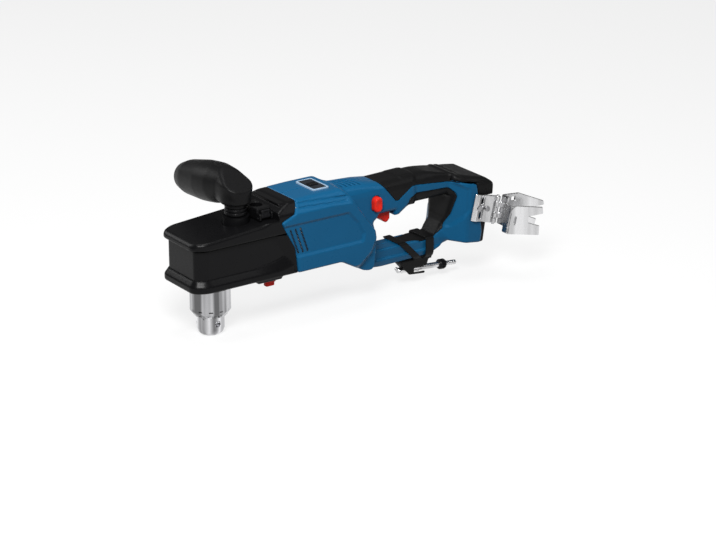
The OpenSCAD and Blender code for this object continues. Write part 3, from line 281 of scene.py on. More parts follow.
def corner_normals(mesh, grid, field):
    """The field's directions at each face's corners, taken a little way into the face."""
    co = np.zeros(len(mesh.vertices) * 3)
    mesh.vertices.foreach_get("co", co)
    co = (co.reshape(-1, 3) / MM - grid.low) / grid.step
    vertex = np.zeros(len(mesh.loops), int)
    mesh.loops.foreach_get("vertex_index", vertex)
    sides = np.zeros(len(mesh.polygons), int)
    mesh.polygons.foreach_get("loop_total", sides)
    face = np.repeat(np.arange(len(sides)), sides)
    middle = np.stack([np.bincount(face, weights=co[vertex, k]) / sides for k in range(3)], axis=1)
    inward = middle[face] - co[vertex]
    reach = np.linalg.norm(inward, axis=1, keepdims=True)
    return field_normals(field, co[vertex] + inward * np.minimum(1.2 / np.maximum(reach, 1e-6), 0.9))


def shape(name, grid, field, keep=0.4, turn=None):
    """A mesh of a field's surface with the field's own normals, moved by a matrix where one is given."""
    field = np.array(np.broadcast_to(field, np.broadcast(grid.x, grid.y, grid.z).shape), np.float32)
    # The box's own faces count as outside, so every surface closes
    for axis in range(3):
        edge = np.moveaxis(field, axis, 0)
        edge[0] = np.maximum(edge[0], grid.step)
        edge[-1] = np.maximum(edge[-1], grid.step)
    points, quads = surface_net(field)
    mesh = bpy.data.meshes.new(name)
    mesh.from_pydata((grid.low + points * grid.step) * MM, [], quads)
    obj = new_object(name, mesh)
    if keep < 1:
        thinned(obj, keep)
    mesh = obj.data
    mesh.polygons.foreach_set("use_smooth", np.ones(len(mesh.polygons), bool))
    normals = corner_normals(mesh, grid, field)
    if turn is not None:
        mesh.transform(turn)
        normals = normals @ np.array(turn.to_3x3()).T
    mesh.normals_split_custom_set(normals)
    mesh.name = name
    return obj


# Materials

def nodes_of(name):
    """A new material with its node tree and its shader."""
    material = bpy.data.materials.new(name)
    material.use_nodes = True
    tree = material.node_tree
    return material, tree, tree.nodes["Principled BSDF"]


def noise(tree, scale, detail=3.0, stretch=(1, 1, 1)):
    """Noise in the object's own metres, with that many features a metre, stretched along an axis."""
    where = tree.nodes.new("ShaderNodeTexCoord")
    mapping = tree.nodes.new("ShaderNodeMapping")
    mapping.inputs["Scale"].default_value = stretch
    texture = tree.nodes.new("ShaderNodeTexNoise")
    texture.inputs["Scale"].default_value = scale
    texture.inputs["Detail"].default_value = detail
    tree.links.new(where.outputs["Object"], mapping.inputs["Vector"])
    tree.links.new(mapping.outputs["Vector"], texture.inputs["Vector"])
    return texture.outputs["Fac"]


def spread(tree, value, low, high, from_low=0.3, from_high=0.7):
    """A value brought from one range to another."""
    node = tree.nodes.new("ShaderNodeMapRange")
    for key, number in (("From Min", from_low), ("From Max", from_high), ("To Min", low), ("To Max", high)):
        node.inputs[key].default_value = number
    tree.links.new(value, node.inputs["Value"])
    return node.outputs["Result"]


def mixed(tree, factor, a, b):
    """A colour between a and b, where each is a colour or a socket."""
    node = tree.nodes.new("ShaderNodeMix")
    node.data_type = "RGBA"
    tree.links.new(factor, node.inputs["Factor"])
    for key, colour in (("A", a), ("B", b)):
        socket = next(s for s in node.inputs if s.name == key and s.type == "RGBA")
        if isinstance(colour, bpy.types.NodeSocket):
            tree.links.new(colour, socket)
        else:
            socket.default_value = (*colour, 1)
    return next(s for s in node.outputs if s.type == "RGBA")


def bump(tree, shader, height, depth):
    """Relief of that depth in metres, laid over what the shader has already."""
    node = tree.nodes.new("ShaderNodeBump")
    node.inputs["Distance"].default_value = depth
    node.inputs["Strength"].default_value = 1.0
    before = shader.inputs["Normal"]
    if before.is_linked:
        tree.links.new(before.links[0].from_socket, node.inputs["Normal"])
    tree.links.new(height, node.inputs["Height"])
    tree.links.new(node.outputs["Normal"], before)


def edge_wear(tree, low=0.54, high=0.64):
    """A mask that is 1 on sharp outer edges, broken up by noise."""
    geometry = tree.nodes.new("ShaderNodeNewGeometry")
    edge = spread(tree, geometry.outputs["Pointiness"], 0, 1, low, high)
    rub = spread(tree, noise(tree, 160), 0.2, 1)
    node = tree.nodes.new("ShaderNodeMath")
    node.operation = "MULTIPLY"
    tree.links.new(edge, node.inputs[0])
    tree.links.new(rub, node.inputs[1])
    return node.outputs["Value"]


def moulded(name, colour, worn, roughness, grain, depth, tint=(1, 1, 1), index=1.2):
    """Moulded plastic or rubber: a fine grain, faint flow marks, rubbed edges and tinted reflections."""
    material, tree, shader = nodes_of(name)
    shader.inputs["IOR"].default_value = index
    shader.inputs["Specular Tint"].default_value = (*tint, 1)
    deep = tuple(0.94 * c for c in colour)
    tone = mixed(tree, spread(tree, noise(tree, 24), 0, 1), deep, colour)
    if worn is not None:
        tone = mixed(tree, edge_wear(tree), tone, worn)
    tree.links.new(tone, shader.inputs["Base Color"])
    gloss = spread(tree, noise(tree, 300), roughness - 0.03, roughness + 0.04)
    tree.links.new(gloss, shader.inputs["Roughness"])
    bump(tree, shader, noise(tree, grain), depth)
    return material


def steel(name, colour, roughness, stretch, depth=2e-5, scale=900, cloud_and_reflection_streaks=(60, (1, 1, 1), 0.7)):
    """Machined steel: fine tool marks along one direction, and a base colour that noise darkens in places.
    Mild round patches of it are a clouded tone; strong dark bands stretched along one axis are painted
    reflections of a darker studio.
    """
    material, tree, shader = nodes_of(name)
    shader.inputs["Metallic"].default_value = 1.0
    # Noise features a metre, their stretch, and the share of the colour at the dark end; a low share with a
    # long stretch paints dark reflection bands into the colour
    features, run, least = cloud_and_reflection_streaks
    clouded_and_reflected_dark = tuple(least * c for c in colour)
    tone = mixed(tree, spread(tree, noise(tree, features, 2.0, run), 0, 1, 0.38, 0.6), clouded_and_reflected_dark, colour)
    tree.links.new(tone, shader.inputs["Base Color"])
    marks = noise(tree, scale, 4.0, stretch)
    gloss = spread(tree, marks, roughness - 0.06, roughness + 0.1)
    tree.links.new(gloss, shader.inputs["Roughness"])
    bump(tree, shader, marks, depth)
    return material


def winding(name):
    """Enamelled copper wire laid in turns round the motor axis."""
    material, tree, shader = nodes_of(name)
    shader.inputs["Metallic"].default_value = 1.0
    turns = tree.nodes.new("ShaderNodeTexWave")
    turns.inputs["Scale"].default_value = 260
    turns.inputs["Distortion"].default_value = 0.6
    where = tree.nodes.new("ShaderNodeTexCoord")
    tree.links.new(where.outputs["Object"], turns.inputs["Vector"])
    tone = mixed(tree, turns.outputs["Fac"], (0.25, 0.07, 0.02), (0.75, 0.3, 0.12))
    tree.links.new(tone, shader.inputs["Base Color"])
    tree.links.new(spread(tree, noise(tree, 200), 0.25, 0.45), shader.inputs["Roughness"])
    bump(tree, shader, turns.outputs["Fac"], 2e-4)
    return material


def smoked_glass(name):
    """The dark window of the display, with a faint haze."""
    material, tree, shader = nodes_of(name)
    shader.inputs["Specular IOR Level"].default_value = 0.2
    tone = mixed(tree, spread(tree, noise(tree, 90), 0, 1), (0.008, 0.01, 0.013), (0.016, 0.019, 0.025))
    tree.links.new(tone, shader.inputs["Base Color"])
    tree.links.new(spread(tree, noise(tree, 40), 0.2, 0.28), shader.inputs["Roughness"])
    bump(tree, shader, noise(tree, 400), 4e-6)
    return material


BLUE = (0.006, 0.088, 0.2)
BLACK = (0.0045, 0.0045, 0.005)
RUBBER = (0.006, 0.006, 0.0063)
RED = (0.72, 0.024, 0.014)
GREY = (0.3, 0.42, 0.55)
DARK = (0.007, 0.007, 0.008)

# The finish of each slot: its maker, and what that maker is told after the name
FINISHES = {
    "blue_plastic": (moulded, BLUE, (0.012, 0.1, 0.24), 0.3, 2200, 1.5e-5, (0.3, 0.62, 1), 1.3),
    "black_plastic": (moulded, BLACK, (0.014, 0.014, 0.015), 0.3, 1900, 2e-5),
    "black_rubber": (moulded, RUBBER, (0.014, 0.014, 0.0145), 0.42, 1300, 3e-5),
    "red_plastic": (moulded, RED, (0.8, 0.07, 0.045), 0.3, 2200, 1.5e-5),
    "grey_panel": (moulded, GREY, (0.42, 0.53, 0.64), 0.4, 2200, 1.5e-5),
    "dark_plastic": (moulded, DARK, (0.016, 0.016, 0.017), 0.36, 1600, 2e-5),
    # Chrome and bare steel have strong dark bands painted into their colour as painted reflections; the
    # other steels keep a mild clouded tone
    "chrome_steel": (steel, (0.8, 0.8, 0.82), 0.14, (0.06, 0.06, 1), 2e-5, 900, (70, (1, 1, 0.02), 0.16)),
    "bare_steel": (steel, (0.78, 0.78, 0.79), 0.24, (1, 1, 0.05), 2e-5, 900, (45, (1, 1, 0.1), 0.6)),
    "gear_steel": (steel, (0.42, 0.42, 0.43), 0.32, (1, 0.2, 0.2)),
    "bronze": (steel, (0.5, 0.31, 0.13), 0.34, (0.3, 0.3, 1)),
    "cast_aluminium": (steel, (0.55, 0.56, 0.57), 0.45, (1, 1, 1), 8e-5, 500),
    "wound_copper": (winding,),
}


def unworn(slot):
    """The finish of a moulded slot without rubbed edges, for the plain solids that stay on show."""
    make, colour, _, *look = FINISHES[slot]
    return make(f"{slot}_unworn", colour, None, *look)


MATERIALS = {slot: make(slot, *look) for slot, (make, *look) in FINISHES.items()}
UNWORN = {slot: unworn(slot) for slot in ("black_plastic", "black_rubber", "dark_plastic")}
GLASS = smoked_glass("smoked_glass")


# Outlines of the housing from the side, as (x, z, corner radius)
BODY_SIDE = [
    (BORDER_X, HEAD_Z, 2), (BORDER_X + 54, HEAD_Z, 12), (BODY_X1 - 15, BELLY_Z + 3, 10),
    (BODY_X1 - 2, BELLY_Z, 6), (BODY_X1 + 1, BELLY_Z + 27, 6), (BODY_X1 - 3, 83, 6),
    (BODY_X1 - 25, BODY_Z1 - 22, 8), (BODY_X1 - 33, BODY_Z1 - 8, 5), (BODY_X1 - 41, BODY_Z1, 6),
    (BORDER_X + 26, BODY_Z1, 20), (BORDER_X + 4, BODY_Z1 - 1.5, 1), (BORDER_X + 2, BODY_Z1 - 4.5, 1),
    (BORDER_X - 4, BODY_Z1 - 13.5, 2), (BORDER_X - 20, BODY_Z1 - 20, 2), (BORDER_X - 3, 84, 4),
]
ROOT_SIDE = [
    (BODY_X1 - 44, BAR_Z1, 0), (WINDOW_X0 - 2, BAR_Z1, 0), (WINDOW_X0 + 1, BAR_Z1 + 20, 5),
    (WINDOW_X0 - 3, GRIP_Z0 - 10, 3), (WINDOW_X0 + 2, GRIP_Z0 - 6.5, 2), (WINDOW_X0 + 4, TRIGGER_Z, 1),
    (WINDOW_X0 + 24, TRIGGER_Z, 1), (WINDOW_X0 + 24.5, GRIP_Z0 - 8.2, 1),
    (WINDOW_X0 + 29.3, GRIP_Z0 - 8.2, 2), (WINDOW_X0 + 42, GRIP_Z0, 5), (WINDOW_X0 + 50, GRIP_Z0, 0),
    (WINDOW_X0 + 50, GRIP_Z1 - 0.6, 0), (WINDOW_X0 + 9, GRIP_Z1 - 2, 12), (BODY_X1 - 2, GRIP_Z1 + 2, 10),
    (BODY_X1 - 44, BODY_Z1 - 1.5, 0),
]
GRIP_SIDE = [
    (WINDOW_X0 + 34, GRIP_Z0, 0), (WINDOW_X1 + 12, GRIP_Z0, 0), (WINDOW_X1 + 16, GRIP_Z0 + 4, 0),
    (WINDOW_X1 + 16, GRIP_Z1 - 10, 0), (WINDOW_X1 + 6, GRIP_Z1 - 7.5, 6),
    (WINDOW_X0 + 61, GRIP_Z1, 60), (WINDOW_X0 + 34, GRIP_Z1 - 0.6, 0),
]
BAR_SIDE = [
    (BODY_X1 - 12, BELLY_Z + 4, 0), (BODY_X1 + 6, BAR_Z0 + 2.5, 20), (WINDOW_X0 + 12, BAR_Z0, 20),
    (WINDOW_X1 - 14, BAR_Z0 + 2, 10), (WINDOW_X1 + 6, BAR_Z0 + 13, 0), (WINDOW_X1 + 6, BAR_Z1 + 10, 0),
    (WINDOW_X1 - 1, BAR_Z1 + 8, 4), (WINDOW_X1 - 11, BAR_Z1, 8), (BODY_X1 - 12, BAR_Z1, 0),
]
FOOT_SIDE = [
    (WINDOW_X1 + 3, FOOT_Z + 1.5, 6), (FOOT_X1 + 1, FOOT_Z - 3, 2), (FOOT_X1 + 3, FOOT_Z + 9, 0),
    (FOOT_X1 - 4, GRIP_Z1 - 20, 0), (FOOT_X1 - 5, GRIP_Z1 - 14, 4), (WINDOW_X1 + 6, GRIP_Z1 - 8, 0),
    (WINDOW_X1 + 8, GRIP_Z0, 4), (WINDOW_X1 + 3, BAR_Z1 + 20, 20), (WINDOW_X1 - 4, BAR_Z1 + 4, 0),
]
BUMPER_SIDE = [
    (WINDOW_X1 + 5, GRIP_Z1 - 14, 0), (FOOT_X1 - 5, GRIP_Z1 - 21, 0), (FOOT_X1 - 3, GRIP_Z0 - 4, 0),
    (FOOT_X1 + 18, GRIP_Z0 - 4, 2), (FOOT_X1 + 19, GRIP_Z1 - 22, 6), (FOOT_X1 + 10, GRIP_Z1 - 15.5, 8),
    (FOOT_X1 - 12, GRIP_Z1 - 11, 10), (WINDOW_X1 + 7, GRIP_Z1 - 7, 2),
]
RAIL_SIDE = [
    (FOOT_X1 - 3, GRIP_Z0 - 4.5, 0), (FOOT_X1 + 3, FOOT_Z + 9, 0), (FOOT_X1 + 1, FOOT_Z - 3, 0),
    (FOOT_X1 + 40, FOOT_Z - 3, 0), (FOOT_X1 + 40, GRIP_Z0 - 4.5, 0),
]
# The foot from above, as (x, y, corner radius)
FOOT_PLAN = mirrored([
    (WINDOW_X1 - 12, -BAR_HALF, 0), (WINDOW_X1 - 2, -BAR_HALF, 6), (WINDOW_X1 + 17, -FOOT_HALF, 10),
    (FOOT_X1 + 60, -FOOT_HALF, 0),
], 1)

# Side outlines of the recessed panel, the flat face round it, the grip's rubber,
# the scooped part of the foot and the opening's lining
PANEL_SIDE = [
    (60, 111, 0), (147, 111, 6), (159.5, 97.6, 8), (167.5, 83, 6), (165.5, 73.5, 4), (60, 73.5, 0),
]
FACE_SIDE = [
    (40, 122, 0), (118, 122, 0), (150, 119, 8), (159.5, 110, 8), (170, 97, 8), (178.5, 85, 6), (180, 75, 6),
    (174, 62, 6), (160, 50, 6), (40, 50, 0),
]
RUBBER_SIDE = [
    (BODY_X1 + 4, BODY_Z1 + 5, 0), (WINDOW_X0 + 25, 102, 4), (WINDOW_X0 + 44.5, 116, 4),
    (WINDOW_X1 + 16, 109.8, 0), (WINDOW_X1 + 16, BODY_Z1 + 5, 0),
]
SCOOP_SIDE = [
    (276, 57, 0), (290, 60, 4), (307, 78, 3), (307, 104, 3), (276, 118, 0),
]
LINING_SIDE = [
    (231, 90, 0), (236, 103, 6), (245, 106.5, 6), (288, 104.5, 8), (296, 97, 8), (290.5, 74, 20),
    (283.5, 58, 8), (272, 48.4, 8), (198, 48.4, 0), (198, 60, 0), (262, 60, 0), (262, 90, 0),
]


def section(half, z0, z1, low_r, high_r):
    """A rectangle about the middle plane, as (y, z, corner radius)."""
    return mirrored([(half, z0, low_r), (half, z1, high_r)])


# Sections of the body, the lower bar and the rear, as (y, z, corner radius)
BODY_FRONT = mirrored([(BODY_HALF, BELLY_Z - 1, 8), (BODY_HALF, SHOULDER_Z, 5), (TOP_HALF, BODY_Z1, 9)])
BAR_FRONT = mirrored([
    (BAR_HALF - 3, BAR_Z0, 4), (BAR_HALF, BAR_Z0 + 9, 2), (BAR_HALF - 1.6, BAR_Z0 + 11, 2),
    (BAR_HALF - 0.6, BAR_Z1 - 2, 3), (BAR_HALF - 3, BAR_Z1 + 12, 3),
])
REAR_FRONT = section(FOOT_HALF, 20, GRIP_Z1 - 6, 4, 22)
# The housing's screws from the side, as (x, z)
SCREW_PLACES = [
    (BORDER_X + 18, HEAD_Z + 8), (BORDER_X + 66, HEAD_Z + 3), (BODY_X1 - 12, BODY_Z1 - 22.5),
    (WINDOW_X0 + 2, BAR_Z1 - 11), (WINDOW_X0 + 50, GRIP_Z0 + 14), (WINDOW_X1 - 20, BAR_Z1 - 11),
    (FOOT_X1 - 14, FOOT_Z + 9), (FOOT_X1 - 14, GRIP_Z1 - 26),
]
DIRECTION_X = 192
DIRECTION_Z = 105.7
SCREW_R = 3.8
BEVEL_SLOPE = 0.9
BEVEL_REACH = 7
SHOULDER_GROOVES = (125.5, 129.5)
GROOVE_HALF = 0.7
GROOVE_DEPTH = 0.9
GROOVE_SLOPE = 0.05
TOP_VENTS = 6
TOP_VENT_PITCH = 5.5
TOP_VENT_LEAN = math.radians(20)
SIDE_VENTS = 3
SIDE_VENT_PITCH = 5.8
VENT_HALF = 1.1
RUBBER_DEPTH = 1.6
RUBBER_PROUD = 0.15
RUBBER_GAP = 0.15
SIDE_INSET = 0.2
PANEL_DEPTH = 2.2
PANEL_CHAMFER = 3
SCOOP_DEPTH = 2
DISPLAY_X0 = 116
DISPLAY_X1 = 136
DISPLAY_HALF = 17
DISPLAY_GAP = 0.3


def body_block(g):
    """The motor body: grooved shoulders, a bevel behind its flat side and a recessed panel on it."""
    block = common(g.side(BODY_SIDE), g.front(BODY_FRONT), 3)
    fall = BEVEL_SLOPE * np.clip(g.side(FACE_SIDE), 0, BEVEL_REACH)
    sunk = PANEL_DEPTH * np.clip(-g.side(PANEL_SIDE) / PANEL_CHAMFER, 0, 1)
    block = np.maximum(block, np.abs(g.y) - BODY_HALF + SIDE_INSET + fall + sunk)
    for z in SHOULDER_GROOVES:
        above = g.z - z + GROOVE_SLOPE * (g.x - 90)
        line = np.maximum(np.abs(above) - GROOVE_HALF, slab(g.x, BORDER_X + 3, 146))
        block = np.maximum(block, -np.maximum(line, -(block + GROOVE_DEPTH)))
    return block


def handle_block(g):
    """The D-handle's root, grip, lower bar and foot, run into each other with fillets."""
    root = common(g.side(ROOT_SIDE), g.front(section(GRIP_HALF + 2, BAR_Z1 - 1, BODY_Z1, 2, 19)), 6)
    grip = common(g.side(GRIP_SIDE), g.front(section(GRIP_HALF, GRIP_Z0, GRIP_Z1, 9, 13)), 2)
    bar = common(g.side(BAR_SIDE), g.front(BAR_FRONT), 2)
    scoop = SCOOP_DEPTH * np.clip(-g.side(SCOOP_SIDE) / 3, 0, 1)
    foot = common(common(g.side(FOOT_SIDE), g.plan(FOOT_PLAN) + scoop, 3), g.front(REAR_FRONT), 3)
    return joined(joined(joined(root, grip, 4), bar, 5), foot, 6)


def housing_field(g):
    """The outside of the whole housing."""
    return joined(body_block(g), handle_block(g), 5)


def housing_openings(g):
    """Everything that opens the housing's shell."""
    holes = common(g.front(BODY_FRONT) + WALL + 2, slab(g.x, BORDER_X - 30, BORDER_X + 12))
    holes = np.maximum(holes, HEAD_Z + WALL - g.z)
    low = (DISPLAY_X0 - DISPLAY_GAP, -DISPLAY_HALF - DISPLAY_GAP, BODY_Z1 - 2.4)
    high = (DISPLAY_X1 + DISPLAY_GAP, DISPLAY_HALF + DISPLAY_GAP, 150)
    holes = joined(holes, g.block(low, high, 1))
    holes = joined(holes, direction_bar(g, PLAY, 60))
    low = (TRIGGER_X0 - PLAY, -TRIGGER_HALF - PLAY, 84)
    high = (TRIGGER_X1 + PLAY, TRIGGER_HALF + PLAY, 96)
    holes = joined(holes, g.block(low, high))
    for i in range(TOP_VENTS):
        along = g.x - (DISPLAY_X0 + 29 + TOP_VENT_PITCH * i) + g.y * math.tan(TOP_VENT_LEAN)
        slit = common(slab(along, -VENT_HALF, VENT_HALF), slab(g.y, -13, 13), 0.8)
        holes = joined(holes, np.maximum(slit, BODY_Z1 - 16 - g.z))
    return joined(holes, g.side(RAIL_SIDE) - SEAT)


def side_slits(g, grow):
    """The slanted vents at the front of each side, grown all round."""
    slits = np.inf
    for i in range(SIDE_VENTS):
        along = g.x - (86 + SIDE_VENT_PITCH * i) + (g.z - 75) * (0.36 - 0.01 * i)
        slit = common(slab(along, -VENT_HALF, VENT_HALF), slab(g.z, 77.5, 105), 0.9)
        slits = np.minimum(slits, slit - grow)
    return slits


def vent_painted_shade(sign):
    """A dark sheet in one side's shallow slanted vents, with a faint weave pressed in: painted shade that
    stands for the depth of the vents.
    """
    depth = BODY_HALF - SIDE_INSET - PANEL_DEPTH
    y0, y1 = sorted((sign * (depth - 0.8), sign * (depth - 0.45)))
    g = Grid((72, y0 - 1, 73), (102, y1 + 1, 108), 0.35)
    weave = 0.12 * np.cos(g.x * 2.4) * np.cos(g.z * 2.4)
    return shape("vent_painted_shade", g, np.maximum(side_slits(g, 0.2), slab(g.y, y0, y1) + weave), 0.6)


def direction_bar(g, grow, half):
    """The direction switch's round-ended bar across the housing, grown all round."""
    outline = rect(DIRECTION_X - 5, DIRECTION_Z - 8.25, DIRECTION_X + 5, DIRECTION_Z + 8.25, 4.6)
    return common(g.side(outline) - grow, np.abs(g.y) - half, 2.5)


def lining_zone(g):
    """Where the hand opening is lined: all round it above the bar, and a narrow strip along the bar."""
    width = 9 + 9 * ramp(g.x, 240, 272) + 30 * ramp(g.z, 52, 56)
    strip = np.maximum(g.side(LINING_SIDE), np.abs(g.y) - width)
    return np.maximum(strip, np.minimum(234 - g.x, 56 - g.z))


def housing_half(name, sign, g):
    """One blue half of the housing, as a shell up to the seam."""
    outside = housing_field(g)
    shell = np.maximum(outside, -(outside + WALL))
    shell = cut(shell, housing_openings(g), 0.5)
    shell = cut(shell, np.maximum(side_slits(g, 0), -(outside + 0.75)), 0.2)
    shell = cut(shell, common(g.side(RUBBER_SIDE), -(outside + RUBBER_DEPTH + SEAT)) - SEAT, 0.4)
    shell = cut(shell, common(lining_zone(g), -(outside + RUBBER_DEPTH + SEAT)) - SEAT, 0.4)
    shell = cut(shell, g.side(BUMPER_SIDE) - SEAT, 0.4)
    if sign > 0:
        for x, z in SCREW_PLACES:
            shell = cut(shell, np.maximum(g.rod(1, (x, z), SCREW_R), 10 - g.y), 0.6)
    return shape(name, g, common(shell, SEAM - sign * g.y, 0.5))


def rubber_layer(g, zone):
    """A soft layer moulded over the housing inside a zone, standing a little proud of it."""
    outside = housing_field(g)
    layer = common(outside - RUBBER_PROUD, zone + RUBBER_GAP, 0.9)
    return np.maximum(layer, -(outside + RUBBER_DEPTH))


def grip_cover():
    """The rubber over the grip, pointed at its front, between the body and the rear bumper."""
    g = Grid((182, -29, 98), (302, 29, 136), 0.8)
    layer = rubber_layer(g, g.side(RUBBER_SIDE))
    layer = cut(layer, body_block(g) - 0.4)
    return shape("grip_cover", g, cut(layer, g.side(BUMPER_SIDE) - 0.2))


def window_lining():
    """The rubber round the inside of the hand opening."""
    g = Grid((194, -26, 44), (298, 26, 110), 0.8)
    return shape("window_lining", g, rubber_layer(g, lining_zone(g)))


def rear_bumper():
    """The rubber cap over the foot's top, with a raised band along its front and a groove behind it."""
    g = Grid((284, -37, 84), (342, 37, 124), 0.7)
    cap = common(common(g.side(BUMPER_SIDE), g.plan(FOOT_PLAN), 3), g.front(REAR_FRONT), 4)
    band = g.side([(280, 90, 0), (309, 90, 0), (303, 112, 6), (280, 130, 0)])
    cap = np.maximum(cap, cap + 0.9 * ramp(band, 0, 1.2))
    line = g.side([(286, 80, 0), (333, 80, 0), (325, 106, 6), (286, 112, 0)])
    groove = common(np.abs(line) - 0.5, -(cap + 0.8))
    return shape("bumper_cap", g, cut(cut(cap, groove, 0.3), g.side(RAIL_SIDE) - SEAT))


# Gear head
HEAD_PLAN = mirrored([
    (-HEAD_FRONT, -HEAD_HALF + 8, 11), (-HEAD_FRONT + 14, -HEAD_HALF, 22), (BORDER_X + 10, -HEAD_HALF, 0),
], 1)
COVER_SIDE = [
    (-HEAD_FRONT - 1, FLANGE_Z, 0), (BORDER_X + 3, FLANGE_Z, 0), (BORDER_X + 3, BODY_Z1 - 2.1, 0),
    (BORDER_X - 6, BODY_Z1 - 2.5, 8), (BORDER_X - 18, BODY_Z1 - 7, 14), (BORDER_X - 38, HEAD_TOP + 6, 20),
    (-HEAD_FRONT + 5, HEAD_TOP, 3), (-HEAD_FRONT - 1, HEAD_TOP - 3, 0),
]
SWIVEL = (30, -4)
CLAMP_X = (44.4, 61.4)
HEAD_SCREWS = [(-24, -20), (-24, 20), (70, -26), (70, 26)]
SELECTOR = (56, -24)
SELECTOR_HOLE = 3.1
# The case's raised back, which fills the cover's collar
BACK_X0 = 56
BACK_HALF = 22
BACK_TOP = 112
# Inside the case: the top of the spindle's bearing, the layshaft's height, and rooms as pairs of corners
BEARING_TOP = 69.1
LAYSHAFT_Z = 86
ROOMS = (
    ((0, -16, 70), (34, 16, 150)), ((44, -16, 70), (90, 16, 109)), ((42, -28.5, 70), (75.9, -15, 80)),
)


def head_cover():
    """The top flange, rising into the collar that meets the housing, with a lip inside the housing."""
    g = Grid((-40, -38, 90), (91, 38, 134), 0.7)
    flange = common(g.plan(HEAD_PLAN), FLANGE_Z - g.z, 2.5)
    cover = common(flange, g.side(COVER_SIDE), 3.5)
    front = g.front(BODY_FRONT)
    cover = common(cover, front + 0.4, 2)
    cover = cut(cover, g.side(BODY_SIDE) - 0.3, 0.4)
    lip = common(slab(front, -WALL - 4, -WALL - 0.5), slab(g.x, BORDER_X - 16, BORDER_X + 6))
    cover = joined(cover, common(lip, HEAD_TOP - 2 - g.z))
    cover = cut(cover, g.rod(2, SWIVEL, 14.1) + np.maximum(HEAD_TOP + 2 - g.z, 0) * 9, 0.5)
    seat = g.block((CLAMP_X[0] - SEAT, -60, HEAD_TOP + 7), (CLAMP_X[1] + SEAT, 9.1, 150))
    cover = cut(cover, seat, 0.5)
    inside = g.block((BACK_X0, -BACK_HALF - SEAT, 80), (CASE_X1, BACK_HALF + SEAT, BACK_TOP + SEAT))
    inside = joined(inside, np.maximum(g.rod(2, (0, 0), 8.1), g.z - FLANGE_Z))
    return shape("cover_shell", g, cut(cover, inside))


def web_line(g):
    """The head's side web from above, which flares out to the full width at the housing's edge."""
    edge = g.side(BODY_SIDE)
    return g.plan(HEAD_PLAN) + WEB_INSET * ramp(edge, 1.5, 13) + 6 * ramp(edge, 0.8, -0.8)


def gear_case():
    """The recessed side web of the head, hollow for the bearings and gears inside it."""
    g = Grid((-35, -37, 59), (85, 37, 113.5), 0.7)
    web = common(web_line(g), slab(g.z, WEB_Z0, FLANGE_Z - SEAT), 0.6)
    web = joined(web, g.block((BACK_X0, -BACK_HALF, FLANGE_Z - 2), (100, BACK_HALF, BACK_TOP), 1))
    web = np.maximum(web, g.x - CASE_X1)
    inside = np.maximum(g.rod(2, (0, 0), 16.1), g.z - BEARING_TOP)
    inside = joined(inside, np.maximum(g.rod(2, (0, 0), 26.5), BEARING_TOP - g.z))
    for low, high in ROOMS:
        inside = joined(inside, g.block(low, high))
    inside = joined(inside, np.maximum(g.rod(0, (0, LAYSHAFT_Z), 8.1), 36 - g.x))
    inside = joined(inside, g.rod(2, SELECTOR, SELECTOR_HOLE))
    return shape("case_web", g, cut(web, inside))


def head_guard():
    """The bottom flange, whose top slopes outward and ramps up towards the housing."""
    g = Grid((-40, -38, 52), (85, 38, 86), 0.7)
    plan = g.plan(HEAD_PLAN)
    top = 64 + (7 + 7 * ramp(g.x, 30, 80)) * np.clip(-plan / WEB_INSET, 0, 1) + 4 * ramp(g.x, 60, 84)
    guard = common(common(plan, HEAD_Z - g.z, 2.5), g.z - top, 1.0)
    pad = g.block((SELECTOR[0] - 20, -35, HEAD_Z - 3), (SELECTOR[0] + 10, -12, HEAD_Z + 2), 2)
    guard = joined(guard, pad, 1.5)
    guard = cut(guard, np.maximum(web_line(g) - SEAT, WEB_Z0 - g.z))
    guard = cut(guard, g.rod(2, (0, 0), 14.2), 0.6)
    guard = cut(guard, g.rod(2, SELECTOR, SELECTOR_HOLE))
    guard = cut(guard, np.maximum(g.rod(2, SELECTOR, 7.4), g.z - HEAD_Z + 1), 0.3)
    for screw in HEAD_SCREWS:
        guard = cut(guard, np.maximum(g.rod(2, screw, 3.5), g.z - HEAD_Z - 1.7), 0.3)
        guard = cut(guard, g.rod(2, screw, 2.0))
    return shape("guard_rim", g, cut(guard, g.side(BODY_SIDE) - 0.4, 0.4))


# Side handle
HANDLE_R = 21.5
HANDLE_BACK = 13
HANDLE_Z = 152.5
HANDLE_DROOP = math.radians(9)
HANDLE_TURN = Matrix.Translation(Vector((*SWIVEL, HANDLE_Z)) * MM) @ Matrix.Rotation(
    -math.pi / 2 - HANDLE_DROOP, 4, "X")
CLAMP_Z0 = 117.1
EAR = 3
LEVER_PIN = (-23.6, 121)
SOCKET = (52.9, -6)


